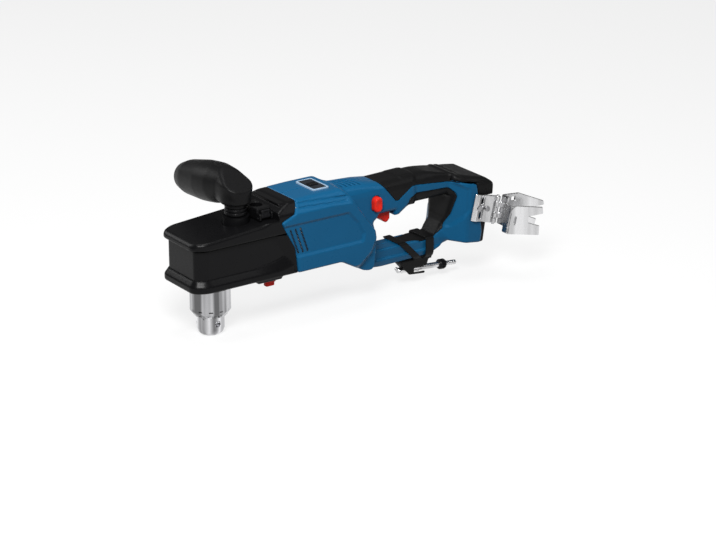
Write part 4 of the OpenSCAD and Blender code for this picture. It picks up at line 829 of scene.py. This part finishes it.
def handle_grip():
    """The barrel of the side handle and the thick elbow round its neck, cut to a slant above."""
    g = Grid((-22.4, -22.4, -18), (22.4, 22.4, 106), 0.8)
    radius = np.hypot(g.x, g.y)
    barrel = outline_distance([
        (0, -HANDLE_BACK, 0), (9.2, -HANDLE_BACK, 2), (13.5, -9.6, 4), (15.6, 1.2, 10), (18.2, 14, 14),
        (20.9, 29, 30), (HANDLE_R - 0.3, 40, 20), (HANDLE_R - 0.3, 51, 40), (HANDLE_R - 3.2, 83, 40),
        (HANDLE_R - 7.5, 98, 10), (HANDLE_R - 14, 103.6, 8), (0, 103.6, 0), (-HANDLE_R, 40, 0),
    ], radius, g.z)
    out = g.z * math.cos(HANDLE_DROOP) - g.y * math.sin(HANDLE_DROOP)
    up = -g.y * math.cos(HANDLE_DROOP) - g.z * math.sin(HANDLE_DROOP)
    neck = np.hypot(g.x, out)
    elbow = common(neck - 15.9, slab(up, -17.8, 4), 3)
    barrel = joined(barrel, elbow, 5)
    barrel = common(barrel, (up - 0.53 * out - 6.5) / 1.13, 2)
    ring = np.hypot(g.x, (g.z - 28) / 1.7)
    mark = np.maximum(np.abs(ring - 4.2) - 0.7, g.y + 15)
    barrel = cut(barrel, np.maximum(mark, -(barrel + 0.8)), 0.3)
    hole = np.maximum(neck - 11.6, up + 2.9)
    core = common(radius - 7.1, slab(g.z, 5.9, 94))
    return shape("handle_barrel", g, cut(cut(barrel, hole, 0.5), core), turn=HANDLE_TURN)


def handle_neck():
    """The neck that swivels on the head, grooved at its foot, with the bar inside the barrel."""
    g = Grid((14, -22, 121), (46, 112, 166), 0.8)
    radius = np.hypot(g.x - SWIVEL[0], g.y - SWIVEL[1])
    neck = common(radius - 11.5, slab(g.z, 122.4, 149.5), 1.0)
    for z in (126.5, 130.0):
        neck = cut(neck, np.maximum(np.abs(g.z - z) - 0.6, 10.7 - radius), 0.3)
    out, up = g.y - SWIVEL[1], g.z - HANDLE_Z
    along = out * math.cos(HANDLE_DROOP) - up * math.sin(HANDLE_DROOP)
    across = out * math.sin(HANDLE_DROOP) + up * math.cos(HANDLE_DROOP)
    bar = common(np.hypot(g.x - SWIVEL[0], across) - 7, slab(along, 6, 93), 1.0)
    neck = joined(neck, bar, 2)
    return shape("handle_neck", g, cut(neck, np.maximum(radius - 6.05, g.z - 141.0)))


def clamp_block():
    """The block behind the swivel, with a round socket on top and two ears for the lever."""
    g = Grid((43, -28, 115), (63, 11, 131), 0.5)
    x0, x1 = CLAMP_X
    block = g.block((x0, -21, CLAMP_Z0), (x1, 9, 129), 1.6)
    ears = np.inf
    for x in (x0, x1 - EAR):
        ears = joined(ears, g.block((x, -26.6, CLAMP_Z0), (x + EAR, -19, 125), 1.2))
    block = joined(block, ears, 0.6)
    socket = np.maximum(g.rod(2, SOCKET, 6.5), 121 - g.z)
    rim = np.maximum(np.abs(g.rod(2, SOCKET, 7.6)) - 0.5, 128.4 - g.z)
    block = cut(cut(block, socket, 0.8), rim, 0.2)
    return shape("clamp_socket", g, cut(block, g.rod(0, LEVER_PIN, 1.55)))


def clamp_lever():
    """The little folded clip that holds the handle, on its pin."""
    g = Grid((43, -28, 117), (63, -19, 130), 0.35)
    plate = g.block((47.8, -25.1, 121), (58, -22.1, 128), 1.2)
    plate = joined(plate, common(g.rod(0, LEVER_PIN, 2.2), slab(g.x, 47.8, 58), 0.4), 0.8)
    plate = cut(plate, g.block((50.4, -30, 123.4), (55.4, -24.3, 126.4), 0.5), 0.3)
    pin = common(g.rod(0, LEVER_PIN, 1.5), slab(g.x, 44.6, 61.2), 0.3)
    return shape("clamp_clip", g, joined(plate, pin))


# Chuck
SLEEVE_R = 21.5
NOSE_R = 14.5
KEY_HOLE_Z = 13


def chuck_sleeve():
    """The keyed sleeve: broad flutes above, a ring of teeth on its taper below."""
    g = Grid((-22.4, -22.4, 20), (22.4, 22.4, 52.4), 0.35)
    radius = np.hypot(g.x, g.y)
    angle = np.arctan2(g.y, g.x)
    outside = outline_distance([
        (0, 20.7, 0), (17.3, 20.7, 0.6), (18.6, 23.4, 0.6), (19.6, 24.2, 0.4), (SLEEVE_R, 27, 2.5),
        (SLEEVE_R, 51.6, 1.2), (0, 51.6, 0), (-20, 36, 0),
    ], radius, g.z)
    flute = 0.55 * ramp(np.cos(12 * angle), -1, 1) * ramp(g.z, 27, 30) * ramp(g.z, 50.8, 49.6)
    tooth = 1.2 * ramp(np.cos(24 * angle + math.pi), 0.1, 0.75) * ramp(g.z, 24, 23.2)
    outside = outside + flute + tooth
    hollow = outline_distance([
        (0, 15, 0), (15.4, 15, 0), (15.4, 21.6, 0), (16.4, 21.6, 0), (19.9, 27.6, 0), (19.9, 60, 0),
        (0, 60, 0), (-20, 36, 0),
    ], radius, g.z)
    return shape("sleeve_fluted", g, np.maximum(outside, -hollow), 0.5)


def turned(g, degrees):
    """The grid's x and y on axes turned about the spindle."""
    turn = math.radians(degrees)
    u = g.x * math.cos(turn) + g.y * math.sin(turn)
    return u, g.y * math.cos(turn) - g.x * math.sin(turn)


def chuck_body():
    """The chuck's core: a rounded nose with key holes, and the body inside the sleeve."""
    g = Grid((-20.8, -20.8, -0.7), (20.8, 20.8, 54.4), 0.4)
    radius = np.hypot(g.x, g.y)
    core = outline_distance([
        (0, 0, 0), (10.2, 0, 0.8), (13.2, 2.6, 3), (NOSE_R, 6.6, 3), (NOSE_R, 29, 0), (17, 29, 0),
        (17, 52, 0), (20, 52, 0.4), (20, 53.6, 0.4), (0, 53.6, 0), (-20, 30, 0),
    ], radius, g.z)
    core = cut(core, np.maximum(radius - 6.6, g.z - 31), 0.5)
    core = cut(core, np.maximum(radius - 8.0, 31 - g.z))
    lean = math.radians(12)
    for i in range(3):
        u, v = turned(g, 90 + 120 * i)
        off = (u - 7.2) * math.cos(lean) - (g.z - 1) * math.sin(lean)
        core = cut(core, np.hypot(off, v) - 3.25)
        u, v = turned(g, 30 + 120 * i)
        core = cut(core, np.maximum(np.hypot(v, g.z - KEY_HOLE_Z) - 3, 8.5 - u), 0.6)
    return shape("chuck_core", g, core, 0.5)


# Controls
def direction_switch():
    """The red switch across the grip's root, with a dimple for the finger."""
    g = Grid((185.6, -28, 95.6), (198.4, 28, 116), 0.6)
    bar = direction_bar(g, 0, 26.9)
    dimple = np.hypot(np.hypot(g.x - DIRECTION_X, g.z - DIRECTION_Z), np.abs(g.y) - 35) - 9.2
    return shape("direction_slider", g, cut(bar, dimple, 1.0))


def trigger():
    """The trigger, hollowed for the finger, with its flange and plunger inside the root."""
    g = Grid((197.6, -15, 75), (218.6, 15, 109), 0.5)
    face = common(g.side([
        (TRIGGER_X0 + 0.5, 85.5, 2), (206, 82.5, 12), (212.5, 77, 3), (TRIGGER_X1, 82, 3),
        (TRIGGER_X1, 96.4, 0), (TRIGGER_X0, 96.4, 0), (TRIGGER_X0, 88, 1),
    ]), slab(g.y, -TRIGGER_HALF, TRIGGER_HALF), 2.5)
    flange = g.block((TRIGGER_X0, -14, 95.4), (TRIGGER_X1, 14, 97.4), 0.4)
    plunger = common(g.rod(2, (TRIGGER_X, 0), 2), slab(g.z, 95.4, 107.6), 0.4)
    return shape("trigger_blade", g, joined(joined(face, flange), plunger, 0.5))


def gear_selector():
    """The red two-speed knob under the head, with a thumb bar and its eccentric pin."""
    g = Grid((48, -32, 44.8), (64, -16, 74), 0.4)
    knob = common(g.rod(2, SELECTOR, 7), slab(g.z, 51.1, 53.6), 0.6)
    x, y = SELECTOR
    knob = knob + 0.35 * ramp(np.cos(18 * np.arctan2(g.y - y, g.x - x)), 0, 1)
    bar = g.block((x - 5.1, y - 2.9, 45.7), (x + 5.1, y + 2.9, 53), 1.2)
    knob = joined(knob, bar, 0.8)
    stem = common(g.rod(2, SELECTOR, 3), slab(g.z, 53, 70.2), 0.3)
    pin = common(g.rod(2, (x - 1.75, y), 1.2), slab(g.z, 70, 73.5), 0.2)
    return shape("selector_knob", g, joined(joined(knob, stem), pin))


def display_plan(g, inset):
    """The outline of the display from above, drawn in."""
    half = DISPLAY_HALF - inset
    return g.plan(rect(DISPLAY_X0 + inset, -half, DISPLAY_X1 - inset, half, 2.4))


def button_space(g, grow):
    """The mode button's outline through the display, grown all round."""
    return g.block((121 - grow, -4 - grow, 100), (131 + grow, 4 + grow, 140), 0.8)


def control_panel():
    """The thin frame of the display on the body's top, sunk in its middle for the dark window."""
    g = Grid((115, -18, 131.5), (137.2, 18, 135.6), 0.4)
    frame_ring = common(display_plan(g, 0), slab(g.z, BODY_Z1 - 2.2, BODY_Z1 + 0.4), 0.6)
    well = np.maximum(display_plan(g, 1.7), BODY_Z1 - 0.6 - g.z)
    return shape("panel_frame", g, cut(cut(frame_ring, well, 0.2), button_space(g, DISPLAY_GAP)))


def display_window():
    """The dark window in the panel frame, open round the mode button."""
    g = Grid((117, -16, 133), (135.2, 16, 135.2), 0.35)
    glass = common(display_plan(g, 1.8), slab(g.z, BODY_Z1 - 0.7, BODY_Z1 + 0.1), 0.3)
    return shape("display_window", g, cut(glass, button_space(g, DISPLAY_GAP), 0.2))


def mode_button():
    """The soft key in the display, with a shallow dish for the fingertip."""
    g = Grid((120, -5, 132), (132, 5, 136.4), 0.3)
    key = common(button_space(g, 0), slab(g.z, BODY_Z1 - 1.1, BODY_Z1 + 1.15), 0.6)
    dish = np.sqrt((g.x - 126) ** 2 + g.y ** 2 + (g.z - BODY_Z1 - 16.5) ** 2) - 16
    return shape("mode_key", g, cut(key, dish, 0.4))


# Rafter hook, drawn at its hinge and tilted with it
HINGE = (336, -39, 76)
HOOK_TURN = Matrix.Translation(Vector(HINGE) * MM) @ Matrix.Rotation(math.radians(13), 4, "Y")
HINGE_HALF = 14.8
PIN_HOLE = 1.65
KNUCKLE_R = 3.1
KNUCKLE_H = 5.6
KNUCKLES = [6 * i - HINGE_HALF for i in range(5)]
# The plane between the two claws
CLAW_SPLIT = -12


def knuckles(g, first):
    """Every second knuckle of the hinge, from the first one on."""
    row = np.inf
    for z0 in KNUCKLES[first::2]:
        row = joined(row, common(g.rod(2, (0, 0), KNUCKLE_R), slab(g.z, z0, z0 + KNUCKLE_H), 0.4))
    return row


def hook_bracket():
    """The folded and slotted plate on the foot's side, with its half of the hinge."""
    g = Grid((-29, -4, -17), (4, 5, 17), 0.45)
    fold = g.plan([
        (-28, 3.4, 0.5), (-24.5, 0.6, 0.8), (-23.3, 0.6, 0.6), (-14, 2.3, 0.8), (-6, -1.4, 0.8),
        (-3.7, -1.4, 0.6), (-3.7, 1.0, 0.6), (-5.5, 1.2, 0.8), (-12.5, 3.85, 0.8), (-28, 3.85, 0.2),
    ])
    plate = common(fold, slab(g.z, -HINGE_HALF, HINGE_HALF), 0.5)
    plate = joined(plate, g.block((-14, 3.3, -HINGE_HALF), (3.4, 3.85, HINGE_HALF), 0.2))
    plate = joined(plate, knuckles(g, 0), 0.8)
    for z0 in KNUCKLES[::2]:
        plate = joined(plate, g.block((-5.2, 0.4, z0), (0, 2.9, z0 + KNUCKLE_H), 0.5), 0.6)
    for z in (-8, 8):
        plate = cut(plate, g.side(rect(-20, z - 3.6, -17, z + 3.6, 1)), 0.4)
    for x in (-22, -11):
        plate = cut(plate, g.rod(1, (x, 0), 2.0), 0.3)
    return shape("bracket_plate", g, cut(plate, g.rod(2, (0, 0), PIN_HOLE)), 0.7, HOOK_TURN)


# The hook's two claws from the side, in its own frame
FAR_CLAW = [
    (3.6, -15, 2), (57, -15, 1), (58, -8, 1), (39, -4, 2), (39, 2, 2), (65, 7.5, 1), (63, 12.5, 1),
    (26, 20, 4), (3.6, 17, 3),
]
NEAR_CLAW = [
    (3.6, -22, 2), (50, -22, 1), (48, -11, 1), (31, -8, 2), (29, -2, 2), (50, 2, 1), (47.5, 9.7, 1),
    (3.6, 10, 9),
]


def rafter_hook():
    """The folded sheet-steel hook: two notched claws and the web between them, bent from one sheet."""
    g = Grid((-4, -22, -23), (66.5, 4, 21), 0.5)
    sheet = g.plan([
        (3.7, -21.2, 3.2), (70, -21.2, 0), (70, -18.9, 0), (6.2, -18.9, 0.8), (6.2, -2.9, 0.8),
        (70, -2.9, 0), (70, -0.4, 0), (3.7, -0.4, 2.4),
    ])
    web = common(sheet, np.maximum(slab(g.z, -HINGE_HALF, 9), g.x - 7), 0.5)
    near_claw = common(np.maximum(sheet, g.y - CLAW_SPLIT), g.side(NEAR_CLAW) + 0.15, 0.6)
    far_claw = common(np.maximum(sheet, CLAW_SPLIT - g.y), g.side(FAR_CLAW) + 0.15, 0.6)
    hook = joined(joined(near_claw, far_claw), web, 0.8)
    for z0 in KNUCKLES[1::2]:
        hook = joined(hook, g.block((-0.4, -2.9, z0), (5.2, -0.4, z0 + KNUCKLE_H), 0.5), 0.6)
    hook = joined(hook, knuckles(g, 1), 0.8)
    hook = cut(hook, np.maximum(g.side(rect(10.6, -11, 13.6, -2, 0.8)), g.y - CLAW_SPLIT), 0.4)
    hook = cut(hook, np.maximum(g.side(rect(17, 11, 22, 15.5, 0.8)), CLAW_SPLIT - g.y), 0.4)
    rib = np.maximum(np.abs(g.side(NEAR_CLAW) + 2.2) - 0.5, -20.75 - g.y)
    hook = cut(hook, common(rib, g.y + 20.3), 0.2)
    return shape("hook_claw", g, cut(hook, g.rod(2, (0, 0), PIN_HOLE)), 0.7, HOOK_TURN)


# Chuck key and its holder
KEY_START = (230, -6, 18.6)
KEY_PITCH = math.radians(4.7)
KEY_GEAR = 55
KEY_ROOM = 3.05
# Each strap's place at the bar's top, its width and its lean in degrees
STRAPS = ((227, 7.5, 44), (261, 11, 0))


def key_axes(g):
    """How far each point lies along the chuck key, across it and above it."""
    dx, dz = g.x - KEY_START[0], g.z - KEY_START[2]
    along = dx * math.cos(KEY_PITCH) - dz * math.sin(KEY_PITCH)
    above = dx * math.sin(KEY_PITCH) + dz * math.cos(KEY_PITCH)
    return along, g.y - KEY_START[1], above


def key_holder():
    """The rubber holder: a saddle round the key's shank and two straps round the bar, one slanted."""
    g = Grid((216, -18, 8), (275, 18, 54), 0.6)
    along, across, above = key_axes(g)
    saddle_side = [
        (231, 29, 0), (231, 26, 1), (243, 12.6, 2), (263, 10.6, 2), (268, 26, 2), (272, 26, 0),
        (272, 29, 0),
    ]
    holder = common(g.side(saddle_side), slab(across, -6, 6), 1.2)
    around_bar = g.front(section(BAR_HALF, BAR_Z0, BAR_Z1, 7, 1))
    for x, width, degrees in STRAPS:
        turn = math.radians(degrees)
        lean = (g.x - x) * math.cos(turn) + (g.z - BAR_Z1) * math.sin(turn)
        ring = common(around_bar - 2.1, slab(lean, 0.2, width - 0.2), 0.8)
        holder = joined(holder, ring, 1)
    holder = cut(holder, around_bar - 0.4, 0.2)
    holder = cut(holder, np.hypot(across, above) - KEY_ROOM, 0.4)
    holder = cut(holder, np.maximum(np.abs(across) - KEY_ROOM, above), 0.4)
    side_gap = np.maximum(np.maximum(19 - along, np.abs(above) - KEY_ROOM), across + 1)
    return shape("key_saddle", g, cut(holder, side_gap, 0.4))


def chuck_key():
    """The chuck key's turned shank with its cross bar, and the ribbed pilot beyond its head."""
    g = Grid((228, -13, 8), (310.4, 1, 24), 0.4)
    along, across, above = key_axes(g)
    radius = np.hypot(across, above)
    shank = outline_distance([
        (0.1, 0, 0), (0.1, 2.4, 0.6), (0.8, 3, 0.4), (56, 3, 0), (56, 2.6, 0), (77.6, 2.6, 0.4),
        (78.8, 1.6, 0.4), (78.8, 0, 0), (40, -9, 0),
    ], along, radius)
    ribs = 0.4 * ramp(np.cos(along * 2 * math.pi / 2.4), 0, 0.8) * ramp(along, 65, 66)
    bar = common(np.hypot(along - 3, above) - 2, slab(across, -6, 6), 0.7)
    return shape("key_turned", g, joined(shank + ribs, bar, 0.6), 0.6)


def key_head():
    """The chuck key's toothed head, of dark steel, shown in the dark plastic finish."""
    g = Grid((282, -13, 5), (296, 1, 22), 0.4)
    along, across, above = key_axes(g)
    radius = np.hypot(across, above)
    head = outline_distance([
        (KEY_GEAR, 0, 0), (KEY_GEAR, 4.6, 0.6), (KEY_GEAR + 1.4, 5.6, 0.4), (KEY_GEAR + 7, 5.6, 0.3),
        (KEY_GEAR + 9, 4.2, 0.3), (KEY_GEAR + 9, 0, 0), (KEY_GEAR + 4, -9, 0),
    ], along, radius)
    angle = np.arctan2(above, across)
    teeth = 1.1 * ramp(np.cos(11 * angle), -0.2, 0.8) * ramp(radius, 3.6, 4.4)
    return shape("key_head", g, head + teeth * ramp(along, KEY_GEAR + 2, KEY_GEAR + 3), 0.6)


# The top of the trigger's spring
SPRING_TOP = 106.5


def trigger_spring():
    """The return spring over the trigger's plunger, wound from round wire."""
    coils, radius, wire, z0 = 3, 4.0, 0.5, 98.0
    rise = SPRING_TOP - wire - z0
    turns, sides = 28 * coils, 10
    verts, faces = [], []
    for i in range(turns + 1):
        a = 2 * math.pi * coils * i / turns
        for k in range(sides):
            b = 2 * math.pi * k / sides
            q = radius + wire * math.cos(b)
            z = z0 + rise * i / turns + wire * math.sin(b)
            verts.append(((TRIGGER_X + q * math.cos(a)) * MM, q * math.sin(a) * MM, z * MM))
    for i in range(turns):
        for k in range(sides):
            a, b = i * sides + k, i * sides + (k + 1) % sides
            faces.append((a, a + sides, b + sides, b))
    faces.append(tuple(range(sides)))
    faces.append(tuple(reversed(range(turns * sides, turns * sides + sides))))
    mesh = bpy.data.meshes.new("spring_coil")
    mesh.from_pydata(verts, [], faces)
    mesh.polygons.foreach_set("use_smooth", np.ones(len(mesh.polygons), bool))
    return new_object("spring_coil", mesh)


def dress_solids(frame):
    """Give every solid that stays on show the finish of its own slot."""
    for entry in frame["record"]["subparts"]:
        mesh = frame["nodes"][entry["node"]].data
        mesh.materials.clear()
        slot = entry["material_slot"]
        mesh.materials.append(UNWORN.get(slot, MATERIALS[slot]))


def build_pieces():
    """Make every piece that stands for a solid, and let it ride on its body."""
    low, high = (60, -1.2, 26.4), (326, 39.2, 136)
    left = Grid((low[0], -high[1], low[2]), (high[0], -low[1], high[2]), 0.8)
    right = Grid(low, high, 0.8)
    for maker, body, node, slot in (
        (lambda: housing_half("housing_shell_left", -1, left), "housing", "housing_left", "blue_plastic"),
        (lambda: housing_half("housing_shell_right", 1, right), "housing", "housing_right", "blue_plastic"),
        (grip_cover, "housing", "grip_rubber", "black_rubber"),
        (window_lining, "housing", "bar_rubber", "black_rubber"),
        (rear_bumper, "housing", "rear_bumper", "black_rubber"),
        (head_cover, "housing", "head_cover", "black_plastic"),
        (head_guard, "housing", "head_guard", "black_plastic"),
        (gear_case, "housing", "gear_case", "black_plastic"),
        (handle_grip, "side_handle", "handle_grip", "black_rubber"),
        (handle_neck, "side_handle", "handle_core", "black_plastic"),
        (clamp_block, "housing", "clamp_block", "black_plastic"),
        (clamp_lever, "clamp_lever", "clamp_lever", "dark_plastic"),
        (chuck_sleeve, "sleeve", "chuck_sleeve", "chrome_steel"),
        (chuck_body, "spindle", "chuck_body", "chrome_steel"),
        (direction_switch, "direction_switch", "direction_switch", "red_plastic"),
        (trigger, "trigger", "trigger", "red_plastic"),
        (gear_selector, "gear_selector", "gear_selector", "red_plastic"),
        (control_panel, "housing", "control_panel", "grey_panel"),
        (mode_button, "mode_button", "mode_button", "dark_plastic"),
        (hook_bracket, "housing", "hook_bracket", "bare_steel"),
        (rafter_hook, "rafter_hook", "rafter_hook", "bare_steel"),
        (key_holder, "housing", "key_holder", "black_rubber"),
        (chuck_key, "chuck_key", "chuck_key", "bare_steel"),
    ):
        place(maker(), body, [node], MATERIALS[slot])
    spring = place(trigger_spring(), "housing", ["trigger_spring"], MATERIALS["bare_steel"])
    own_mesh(spring)
    place(display_window(), "housing", [], GLASS)
    place(key_head(), "chuck_key", [], MATERIALS["dark_plastic"])
    for sign in (-1, 1):
        # Dark sheets in the shallow side vents, painted shade for their depth
        place(vent_painted_shade(sign), "housing", [], MATERIALS["dark_plastic"])


# Stage
CAMERA_AZIMUTH = -35.2
CAMERA_ELEVATION = 20.6
CAMERA_DISTANCE = 2600
CAMERA_PIXEL = 1.02
ORIGIN_PIXEL = (210.8, 331.8)
IMAGE = (716, 540)
SENSOR = 36.0
FILL = 0.14
# The floor in metres, its tone as lit and to bounced light, and the share of plain white that is seen on it
FLOOR_HALF = 40.0
FLOOR_Z = -2e-4
FLOOR_TONE = 0.92
FLOOR_BOUNCE = 0.25
FLOOR_WHITE = 0.78
# Each lamp's name, place and size in metres, and its power in watts
LAMPS = (
    ("key_lamp", (-0.5, -0.75, 0.95), 0.4, 18),
    ("top_lamp", (0.1, 0.1, 1.5), 0.6, 8),
    ("side_lamp", (1.0, -0.75, 1.1), 0.8, 3.5),
    ("rim_lamp", (-0.58, 1.31, 0.88), 0.7, 6),
)
LAMP_AIM = (0.15, 0, 0.08)


def add_camera():
    """A camera at the photograph's angle, placed so that the origin falls on its own pixel."""
    a, e = math.radians(CAMERA_AZIMUTH), math.radians(CAMERA_ELEVATION)
    back = Vector((math.sin(a) * math.cos(e), -math.cos(a) * math.cos(e), math.sin(e)))
    right = Vector((math.cos(a), math.sin(a), 0))
    up = back.cross(right)
    focal = CAMERA_DISTANCE / CAMERA_PIXEL
    dx = (ORIGIN_PIXEL[0] - IMAGE[0] / 2) / focal
    dy = (IMAGE[1] / 2 - ORIGIN_PIXEL[1]) / focal
    where = CAMERA_DISTANCE * (back - dx * right - dy * up) * MM
    data = bpy.data.cameras.new("camera")
    data.sensor_width = SENSOR
    data.lens = focal / IMAGE[0] * SENSOR
    camera = bpy.data.objects.new("camera", data)
    turn = Matrix((right, up, back)).transposed().to_4x4()
    camera.matrix_world = Matrix.Translation(where) @ turn
    bpy.context.scene.collection.objects.link(camera)
    bpy.context.scene.camera = camera


def add_light(name, where, size, power):
    """A soft square lamp that points at the middle of the tool."""
    data = bpy.data.lights.new(name, "AREA")
    data.size = size
    data.energy = power
    lamp = bpy.data.objects.new(name, data)
    lamp.location = where
    lamp.rotation_euler = (Vector(LAMP_AIM) - Vector(where)).to_track_quat("-Z", "Y").to_euler()
    bpy.context.scene.collection.objects.link(lamp)


def ray_mask(tree, keys):
    """A socket that is 1 for rays of the kinds named."""
    path = tree.nodes.new("ShaderNodeLightPath")
    seen = path.outputs[keys[0]]
    for key in keys[1:]:
        either = tree.nodes.new("ShaderNodeMath")
        either.operation = "MAXIMUM"
        tree.links.new(seen, either.inputs[0])
        tree.links.new(path.outputs[key], either.inputs[1])
        seen = either.outputs["Value"]
    return seen


def mixed_shader(tree, factor, a, b):
    """Shader a where the factor is 0, and b where it is 1."""
    mix = tree.nodes.new("ShaderNodeMixShader")
    tree.links.new(factor, mix.inputs["Fac"])
    tree.links.new(a, mix.inputs[1])
    tree.links.new(b, mix.inputs[2])
    return mix.outputs["Shader"]


def add_world():
    """A plain soft fill from all round."""
    world = bpy.data.worlds.new("studio")
    world.use_nodes = True
    plain = world.node_tree.nodes["Background"]
    plain.inputs["Color"].default_value = (1, 1, 1, 1)
    plain.inputs["Strength"].default_value = FILL
    bpy.context.scene.world = world


def add_floor():
    """A pale floor under the chuck's nose, which keeps a soft shadow and throws little light back up."""
    mesh = bpy.data.meshes.new("floor")
    corners = [(FLOOR_HALF * a, FLOOR_HALF * b, FLOOR_Z) for a, b in ((-1, -1), (1, -1), (1, 1), (-1, 1))]
    mesh.from_pydata(corners, [], [(0, 1, 2, 3)])
    floor = new_object("floor", mesh)
    material, tree, shader = nodes_of("pale_floor")
    bounced = ray_mask(tree, ("Is Diffuse Ray",))
    tone = mixed(tree, bounced, 3 * (FLOOR_TONE,), 3 * (FLOOR_BOUNCE,))
    tree.links.new(tone, shader.inputs["Base Color"])
    shader.inputs["Roughness"].default_value = 0.9
    white = tree.nodes.new("ShaderNodeEmission")
    white.inputs["Color"].default_value = (1, 1, 1, 1)
    white.inputs["Strength"].default_value = 1.0
    seen = ray_mask(tree, ("Is Camera Ray", "Is Glossy Ray", "Is Transmission Ray"))
    share = spread(tree, seen, 0, FLOOR_WHITE, 0, 1)
    look = mixed_shader(tree, share, shader.outputs["BSDF"], white.outputs["Emission"])
    tree.links.new(look, tree.nodes["Material Output"].inputs["Surface"])
    mesh.materials.append(material)


def add_stage():
    """The floor, the soft fill and four lamps: a key in front, one above, and two that catch the bevels."""
    add_world()
    add_floor()
    for lamp in LAMPS:
        add_light(*lamp)


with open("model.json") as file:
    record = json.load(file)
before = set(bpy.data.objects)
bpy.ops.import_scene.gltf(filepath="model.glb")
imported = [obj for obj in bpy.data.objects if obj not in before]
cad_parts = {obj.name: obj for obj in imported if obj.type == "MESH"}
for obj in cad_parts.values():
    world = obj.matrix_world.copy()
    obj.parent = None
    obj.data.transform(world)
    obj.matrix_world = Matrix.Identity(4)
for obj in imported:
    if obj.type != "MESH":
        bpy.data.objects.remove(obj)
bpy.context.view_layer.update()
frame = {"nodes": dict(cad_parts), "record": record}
dress_solids(frame)
build_pieces()
add_camera()
add_stage()
bpy.context.scene.view_settings.view_transform = "Standard"
